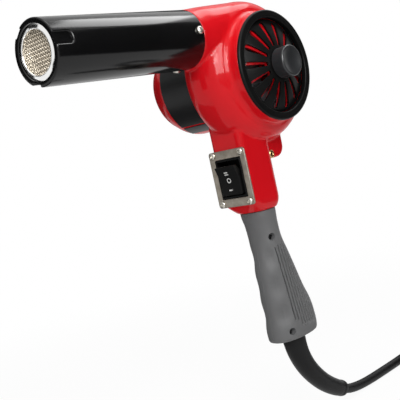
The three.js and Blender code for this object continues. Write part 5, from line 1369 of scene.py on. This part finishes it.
def rocker_marks():
    """One bar for low, two bars for high and a ring for off."""
    marks = join(
        half_ring_mark("ring_high", True), half_ring_mark("ring_low", False),
        *[rocker_bar(name, z) for name, z in MARK_BARS.items()],
    )
    marks.name = "rocker_marks"
    marks.data.transform(rocker_pose() @ Matrix.Translation((0, MARK_SHIFT_Y, 0)))
    return settle(marks, "mark_paint", "rocker")


switch_plate()
plate_screws()
switch_bezel()
switch_rocker()
rocker_marks()


def lug_rivet():
    face = LUG_HALF_WIDTH + SEAT_GAP
    near = [(radius, -face - rise) for radius, rise in RIVET_HEAD]
    far = [(radius, face + rise) for radius, rise in reversed(RIVET_HEAD)]
    rivet = turned("rivet", near + far, "Y", (RIVET_X, 0, RIVET_Z), SMALL_STEPS)
    return settle(rivet, "brass", "tool_body", ["lug_rivet"])


lug_rivet()


# Grip: two halves with finger waves in front and grooves towards the back
def grip_station(drop):
    """Front, back and half width at a drop, on a smooth line through the stations."""
    drops = [station[0] for station in GRIP_STATIONS]
    last = len(drops) - 1
    low = max(number for number in range(last) if drops[number] <= drop)
    before, after = max(low - 1, 0), min(low + 2, last)
    share = (drop - drops[low]) / (drops[low + 1] - drops[low])
    values = []
    for size in (1, 2, 3):
        start, end = GRIP_STATIONS[low][size], GRIP_STATIONS[low + 1][size]
        span = drops[low + 1] - drops[low]
        slope_in = (end - GRIP_STATIONS[before][size]) / (drops[low + 1] - drops[before]) * span
        slope_out = (GRIP_STATIONS[after][size] - start) / (drops[after] - drops[low]) * span
        values.append(smooth_between(start, end, slope_in, slope_out, share))
    return values


def grip_wave(z, front_share, near):
    """How far a finger wave draws the grip in beside its front, less on the side away from the intake."""
    top, bottom = WAVE_SPAN
    span = (smoothstep(-z, -top - WAVE_FADE, -top + WAVE_FADE)
            * smoothstep(z, bottom - WAVE_FADE, bottom + WAVE_FADE))
    wave = 0.5 - 0.5 * math.cos(2 * math.pi * (z - top) / WAVE_PITCH)
    side = smoothstep(front_share, *WAVE_SIDE) * (1 - WAVE_FRONT_LOSS * smoothstep(front_share, *WAVE_FRONT))
    return WAVE_DEPTH * span * wave * side * (1 if near else WAVE_FAR_SHARE)


def groove_depth(arc, first_arc, z):
    """Depth of the grooves at an arc length from the back's middle. The first groove lies furthest forward."""
    number = round((first_arc - arc) / GROOVE_PITCH)
    if number < 0 or first_arc - number * GROOVE_PITCH < GROOVE_PITCH / 2:
        return 0
    off = abs(first_arc - number * GROOVE_PITCH - arc) / GROOVE_HALF_WIDTH
    if off >= 1:
        return 0
    end = GROOVE_END_Z[0] if number < SHORT_GROOVES else GROOVE_END_Z[1]
    top = GROOVE_TOP[1] - (FIRST_GROOVE_DROP if number == 0 else 0)
    span = (smoothstep(-z, -top - GROOVE_FADE, -top + GROOVE_FADE)
            * smoothstep(z, end - GROOVE_FADE, end + GROOVE_FADE))
    return GROOVE_DEPTH * span * (1 - off ** 4) ** 0.5


def grip_ring(drop):
    """The grip's outline at a drop, with the finger waves drawn in."""
    front, back, half = grip_station(drop)
    z = GRIP_TOP_Z - drop
    middle, deep = (front + back) / 2, (back - front) / 2
    power = 2 / GRIP_SQUARENESS
    ring = []
    for turn in turns_of(GRIP_POINTS):
        c, s = math.cos(turn), math.sin(turn)
        x = middle + deep * signed_power(c, power)
        y = half * signed_power(s, power)
        out = Vector((signed_power(c, 2 - power) / deep, signed_power(s, 2 - power) / half, 0))
        ring.append(Vector((x, y, z)) - out.normalized() * grip_wave(z, -c, s < 0))
    return ring


def grooved(ring):
    """The ring with its grooves pressed in, measured along the ring from the middle of the back."""
    z = ring[0].z
    first_x = GROOVE_TOP[0] + GROOVE_LEAN * (GROOVE_TOP[1] - z)
    count = len(ring)
    pressed = [place.copy() for place in ring]
    for way in (1, -1):
        order = [way * number % count for number in range(count // 2)]
        arcs = [0]
        for here, there in zip(order, order[1:]):
            arcs.append(arcs[-1] + (ring[there] - ring[here]).length)
        first = next((arc for arc, number in zip(arcs, order) if ring[number].x < first_x), arcs[-1])
        for arc, number in zip(arcs, order):
            depth = groove_depth(arc, first, z)
            if depth:
                along = ring[(number + 1) % count] - ring[number - 1]
                inward = Vector((-along.y, along.x, 0)).normalized()
                pressed[number] += inward * depth
    return pressed


def grip_drops():
    """Even drops down to the last full section, and closer ones round the grip's lower edge."""
    full, bottom = GRIP_STATIONS[-3][0], GRIP_STATIONS[-1][0]
    steps = int(full / GRIP_STEP)
    drops = [full * number / steps for number in range(steps + 1)]
    edge = bottom - drops[-1]
    return drops + [drops[-1] + edge * math.sin(turn) for turn in quarter_turn(ARC_STEPS, 1)]


def grip_half(name, body, side):
    """One half of the grip, cut from the whole on its middle plane."""
    half = copy_of(body, name, Matrix.Identity(4))
    edit(half)
    bpy.ops.mesh.select_all(action="SELECT")
    bpy.ops.mesh.bisect(plane_co=(0, side * GRIP_SPLIT / 2, 0), plane_no=(0, side, 0), use_fill=True,
                        clear_inner=True, clear_outer=False)
    leave_edit()
    return outwards(half)


def grip():
    body = drawn("grip_body", [grooved(grip_ring(drop)) for drop in grip_drops()])
    low, high = GRIP_BOTTOM_Z - SLEEVE_HOLE_OVERRUN, GRIP_BOTTOM_Z + SLEEVE_HOLE_DEPTH
    centre = (SLEEVE_ROUTE[0][0], 0, 0)
    cut(body, rod("sleeve_hole", SLEEVE_NECK_RADIUS + SEAT_GAP, low, high, "Z", centre, ROUND_STEPS))
    near = grip_half("grip_half_intake_side_shell", body, -1)
    far = grip_half("grip_half_motor_side_shell", body, 1)
    for drop in GRIP_SCREW_DROPS:
        centre = (GRIP_SCREW_X, 0, GRIP_TOP_Z - drop)
        front = -NECK_HALF_WIDTH - OVERRUN
        cut(near, rod("screw_well", GRIP_HOLE_RADIUS, front, GRIP_SCREW_SEAT, "Y", centre, ROUND_STEPS))
    settle(near, "grey_grip", "tool_body", ["grip_half_intake_side"], angle=50)
    settle(far, "grey_grip", "tool_body", ["grip_half_motor_side"], angle=50)
    bpy.data.objects.remove(body)


def grip_screws():
    moves = []
    for number, drop in enumerate(GRIP_SCREW_DROPS, 1):
        place = Matrix.Translation((GRIP_SCREW_X, GRIP_SCREW_SEAT, GRIP_TOP_Z - drop))
        moves.append(place @ Matrix.Rotation(GRIP_SCREW_TURN * number, 4, "Y"))
    # The grip screws get a near-black finish, painted shade for their deep wells
    set_screws("grip", GRIP_SCREW, moves, "painted_shade_steel")


grip()
grip_screws()


# Sleeve, tie and plug on the lead
def smooth_route(route, pieces):
    """Points on a smooth line through a route."""
    places = [Vector((x, 0, z)) for x, z in route]
    fine = []
    for number in range(len(places) - 1):
        start, end = places[number], places[number + 1]
        before = places[max(number - 1, 0)]
        after = places[min(number + 2, len(places) - 1)]
        into, out = (end - before) / 2, (after - start) / 2
        for step in range(pieces):
            share = step / pieces
            fine.append(smooth_between(start, end, into, out, share))
    return [*fine, places[-1]]


def circle_ring(centre, along, radius, count=48):
    side = Vector((0, 1, 0))
    top = along.cross(side)
    return [centre + (side * math.cos(turn) + top * math.sin(turn)) * radius for turn in turns_of(count)]


def strain_relief():
    """A tapered sleeve with a neck inside the grip, a bead at its end and a mouth round the lead."""
    route = smooth_route(SLEEVE_ROUTE, pieces=4)
    last = len(route) - 1
    down = Vector((0, 0, -1))
    top = Vector((SLEEVE_ROUTE[0][0], 0, GRIP_BOTTOM_Z - SEAT_GAP))
    rings = [
        circle_ring(top + Vector((0, 0, SLEEVE_NECK_LENGTH)), down, SLEEVE_NECK_RADIUS),
        circle_ring(top, down, SLEEVE_NECK_RADIUS),
        circle_ring(top, down, SLEEVE_TOP_RADIUS - SLEEVE_EDGE),
        circle_ring(top + down * SLEEVE_EDGE, down, SLEEVE_TOP_RADIUS),
    ]
    way = down
    for number, place in enumerate(route):
        before, after = route[max(number - 1, 0)], route[min(number + 1, last)]
        way = (after - before).normalized()
        bead = SLEEVE_BEAD * smoothstep(number, last - SLEEVE_BEAD_SPAN[0], last - SLEEVE_BEAD_SPAN[1])
        rings.append(circle_ring(place, way, mix(SLEEVE_TOP_RADIUS, SLEEVE_END_RADIUS, number / last) + bead))
    mouth = LEAD_RADIUS + LEAD_GAP
    rings += [
        circle_ring(route[-1] + way * SLEEVE_EDGE, way, SLEEVE_END_RADIUS + SLEEVE_BEAD - SLEEVE_END_EDGE),
        circle_ring(route[-1] + way * SLEEVE_MOUTH_EDGE, way, mouth),
        circle_ring(route[-1] - way * SLEEVE_MOUTH_DEPTH, way, mouth),
    ]
    sleeve = drawn("sleeve", rings)
    return settle(sleeve, "black_rubber", "tool_body", ["strain_relief"], angle=40)


strain_relief()


def coil_strap():
    """A flat strap round the coil's strands."""
    strap = block("strap", *node_box("coil_tie"))
    bevel_where(strap, STRAP_CORNER, 6, lambda middle, way: abs(way.x) > ALONG)
    edit(strap)
    pick_part(strap, "faces", lambda middle, way: abs(way.x) > ALONG)
    bpy.ops.mesh.delete(type="FACE")
    leave_edit()
    apply_modifier(strap, "SOLIDIFY", thickness=STRAP_THICKNESS, offset=-1)
    round_edges(strap, STRAP_EDGE, 2, 50)
    return settle(strap, "black_rubber", "tool_body", ["coil_tie"])


def plug_section(x, width, height, corner):
    ring = neck_ring(0, -width / 2, width / 2, height / 2, corner, corner)
    middle_z = (COIL_LOW_Z + COIL_PITCH) / MM - FAN_AXIS.z
    return [Vector((x, place.x, middle_z + place.y)) for place in ring]


def plug():
    """A moulded plug: ribbed nose, waisted body and rounded face."""
    rings = []
    for number in range(PLUG_NOSE_STEPS + 1):
        share = number / PLUG_NOSE_STEPS
        wave = max(math.sin(share * 2 * PLUG_RIBS * math.pi), 0)
        rib = PLUG_RIB_HEIGHT * wave if share < PLUG_RIB_END else 0
        size = 2 * (mix(*PLUG_NOSE_RADII, share) + rib)
        x = mix(PLUG_START_X, PLUG_SHOULDER_X - PLUG_NOSE_GAP, share)
        rings.append(plug_section(x, size, size, size * PLUG_NOSE_CORNER))
    # Sections of the body: place, how much narrower and lower than the whole, and corner
    body = (
        (PLUG_SHOULDER_X, 5, 5, 7), (PLUG_SHOULDER_X + 1.5, 2, 2, 6.5), (PLUG_SHOULDER_X + 4, 0, 0, 6),
        (mix(PLUG_SHOULDER_X, PLUG_FACE_X, 0.55), 2.6, 0, 6), (PLUG_FACE_X - 5, 0, 0, 6),
        (PLUG_FACE_X - 1.5, 0, 0, 6), (PLUG_FACE_X - 0.4, 1, 1, 5.6), (PLUG_FACE_X, 2.4, 2.4, 5),
    )
    for x, narrower, lower, corner in body:
        rings.append(plug_section(x, PLUG_WIDTH - narrower, PLUG_HEIGHT - lower, corner))
    return settle(drawn("plug_moulding", rings), "black_rubber", "tool_body", ["plug_body"], angle=40)


def plug_blades():
    made = []
    for node in ("plug_blade_left", "plug_blade_right"):
        low, high = node_box(node)
        blade = block(f"{node}_pressing", low, high)
        centre = (high.x - BLADE_HOLE_INSET, 0, (low.z + high.z) / 2)
        cut(blade, rod("blade_hole", BLADE_HOLE_RADIUS, low.y - OVERRUN / 2, high.y + OVERRUN / 2, "Y", centre))
        round_edges(blade, BLADE_EDGE, 2, 50)
        made.append(settle(blade, "brass", "tool_body", [node]))
    return made


def earth_pin():
    low, high = node_box("plug_earth_pin")
    radius = EARTH_PIN_RADIUS
    turns = quarter_turn(ARC_STEPS)
    tip = [(radius * math.cos(turn), high.x - radius + radius * math.sin(turn)) for turn in turns]
    centre = (0, (low.y + high.y) / 2, (low.z + high.z) / 2)
    profile = [(0, low.x), (radius, low.x), *tip[:-1], (0, high.x)]
    pin = turned("earth_pin_turning", profile, "X", centre, SMALL_STEPS)
    return settle(pin, "brass", "tool_body", ["plug_earth_pin"])


on_lead = [coil_strap(), plug(), *plug_blades(), earth_pin()]


# Inner pieces that keep their solids
INNER_FINISHES = {
    "plain_steel": (
        "heat_liner", "motor_stator", "front_bearing", "rear_bearing", "motor_shaft", "armature_core",
    ),
    "zinc_steel": ("damper_spindle", "fan_nut"),
    "copper": (
        "field_coil_upper", "field_coil_lower", "armature_winding_front", "armature_winding_rear", "commutator",
    ),
    "brass": ("brush_holder_front", "brush_holder_rear"),
    "carbon": ("carbon_brush_front", "carbon_brush_rear"),
    "mica": ("heater_former",),
    "fan_metal": ("fan_impeller",),
}
for material, nodes in INNER_FINISHES.items():
    for node in nodes:
        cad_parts[node].data.materials.clear()
        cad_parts[node].data.materials.append(FINISHES[material])


# Floor, world and lamps
AIM = (-0.05, 0, 0.12)
WHITE = (1, 1, 1, 1)
PAPER = (0.9, 0.9, 0.9, 1)
CLOTH = (0.01, 0.01, 0.01, 1)
FLOOR_RADIUS = 30
FLOOR_DROP = 0.0003
FLOOR_FADE = (0.35, 1.1)
FLOOR_WHITENESS = (0.94, 1)
WORLD_LIGHT = 0.12


def seen_rays(tree):
    """1 for what the camera and reflections see, and 0 for the light that falls on the tool."""
    path = add_node(tree, "ShaderNodeLightPath")
    seen = path.outputs["Is Camera Ray"]
    for ray in ("Is Glossy Ray", "Is Transmission Ray"):
        either = add_node(tree, "ShaderNodeMath", {0: seen, 1: path.outputs[ray]}, operation="MAXIMUM")
        seen = either.outputs["Value"]
    return seen


def floor_finish():
    """Pale floor that keeps a soft shadow near the tool and is plain white further out."""
    material = bpy.data.materials.new("floor_finish")
    material.use_nodes = True
    tree = material.node_tree
    tree.nodes.clear()
    place = add_node(tree, "ShaderNodeTexCoord")
    length = add_node(tree, "ShaderNodeVectorMath", {0: place.outputs["Object"]}, operation="LENGTH")
    fade = add_node(tree, "ShaderNodeMapRange", {
        "From Min": FLOOR_FADE[0], "From Max": FLOOR_FADE[1], "To Min": FLOOR_WHITENESS[0],
        "To Max": FLOOR_WHITENESS[1], "Value": length.outputs["Value"],
    }, interpolation_type="SMOOTHSTEP")
    shown = {0: fade.outputs["Result"], 1: seen_rays(tree)}
    share = add_node(tree, "ShaderNodeMath", shown, operation="MULTIPLY")
    paper = add_node(tree, "ShaderNodeBsdfDiffuse", {"Color": PAPER})
    glow = add_node(tree, "ShaderNodeEmission", {"Strength": 1})
    both = add_node(tree, "ShaderNodeMixShader", {
        "Fac": share.outputs["Value"], 1: paper.outputs["BSDF"], 2: glow.outputs["Emission"],
    })
    add_node(tree, "ShaderNodeOutputMaterial", {"Surface": both.outputs["Shader"]})
    return material


def add_floor():
    pick_none()
    bpy.ops.mesh.primitive_circle_add(vertices=96, radius=FLOOR_RADIUS, fill_type="NGON",
                                      location=(0, 0, SURFACE_Z - FLOOR_DROP))
    floor = named("floor")
    floor.data.materials.append(floor_finish())


def add_world():
    """White for what the camera and reflections see, and a soft grey for the light that falls on the tool."""
    world = bpy.data.worlds.new("studio")
    bpy.context.scene.world = world
    world.use_nodes = True
    tree = world.node_tree
    background = tree.nodes["Background"]
    background.inputs["Color"].default_value = WHITE
    levels = {"To Min": WORLD_LIGHT, "To Max": 1, "Value": seen_rays(tree)}
    strength = add_node(tree, "ShaderNodeMapRange", levels)
    tree.links.new(strength.outputs["Result"], background.inputs["Strength"])


def aimed(piece, place, aim, front):
    """Puts a lamp or card at a place, with its front towards an aim."""
    piece.location = place
    piece.rotation_mode = "QUATERNION"
    piece.rotation_quaternion = (Vector(aim) - Vector(place)).to_track_quat(front, "Y")


def add_lamp(name, place, width, height, power, seen_only=False):
    """A softbox. One that is only seen shows in gloss, and adds no other light."""
    lamp = bpy.data.objects.new(name, bpy.data.lights.new(name, "AREA"))
    bpy.context.scene.collection.objects.link(lamp)
    lamp.data.shape = "RECTANGLE"
    lamp.data.size = width
    lamp.data.size_y = height
    lamp.data.energy = power
    lamp.visible_diffuse = not seen_only
    aimed(lamp, place, AIM, "-Z")


def add_flag(name, place, width, height, aim=AIM):
    """A dark card that only reflections see, as beside a product in a studio."""
    pick_none()
    bpy.ops.mesh.primitive_plane_add(size=1)
    flag = named(name)
    flag.scale = (width, height, 1)
    aimed(flag, place, aim, "Z")
    cloth = bpy.data.materials.new(name)
    cloth.use_nodes = True
    shader = cloth.node_tree.nodes["Principled BSDF"]
    shader.inputs["Base Color"].default_value = CLOTH
    shader.inputs["Roughness"].default_value = 1
    flag.data.materials.append(cloth)
    flag.visible_camera = False
    flag.visible_diffuse = False
    flag.visible_shadow = False
    flag.visible_transmission = False


add_floor()
add_world()
# Softboxes: place, width, height and power
add_lamp("key_box", (-0.78, -0.84, 0.88), 0.6, 0.6, 11.5)
add_lamp("window_box", (-0.5, -1.15, 0.56), 1.5, 0.55, 32, seen_only=True)
add_lamp("top_box", (-0.1, -0.25, 1.4), 0.7, 0.7, 6.5)
add_lamp("back_strip", (0.82, -0.15, 1.23), 0.75, 0.55, 7.5)
# Cards: place, width and height, and the aim of those that don't face the tool
add_flag("right_flag", (0.447, -0.476, 0.32), 0.77, 0.92, (-0.013, 0.074, 0.32))
add_flag("rear_flag", (1.1, 1.2, 0.45), 1.6, 1.1)
add_flag("back_flag", (0, 1.5, 0.25), 1.3, 0.9)
add_flag("front_flag", (-0.66, -2.1, 0.4), 2.2, 1.4)
add_flag("left_flag", (-1.55, 0.78, 0.1), 0.6, 0.9)
add_flag("mouth_flag", (-1.12, 1.17, 0.55), 0.8, 0.5)
add_flag("high_flag", (-0.75, 0.97, 1.1), 0.6, 0.5)
add_flag("floor_flag", (-0.18, 0.55, SURFACE_Z + 0.001), 0.48, 0.8, (-0.18, 0.55, 1))

bpy.context.scene.view_settings.view_transform = "Standard"
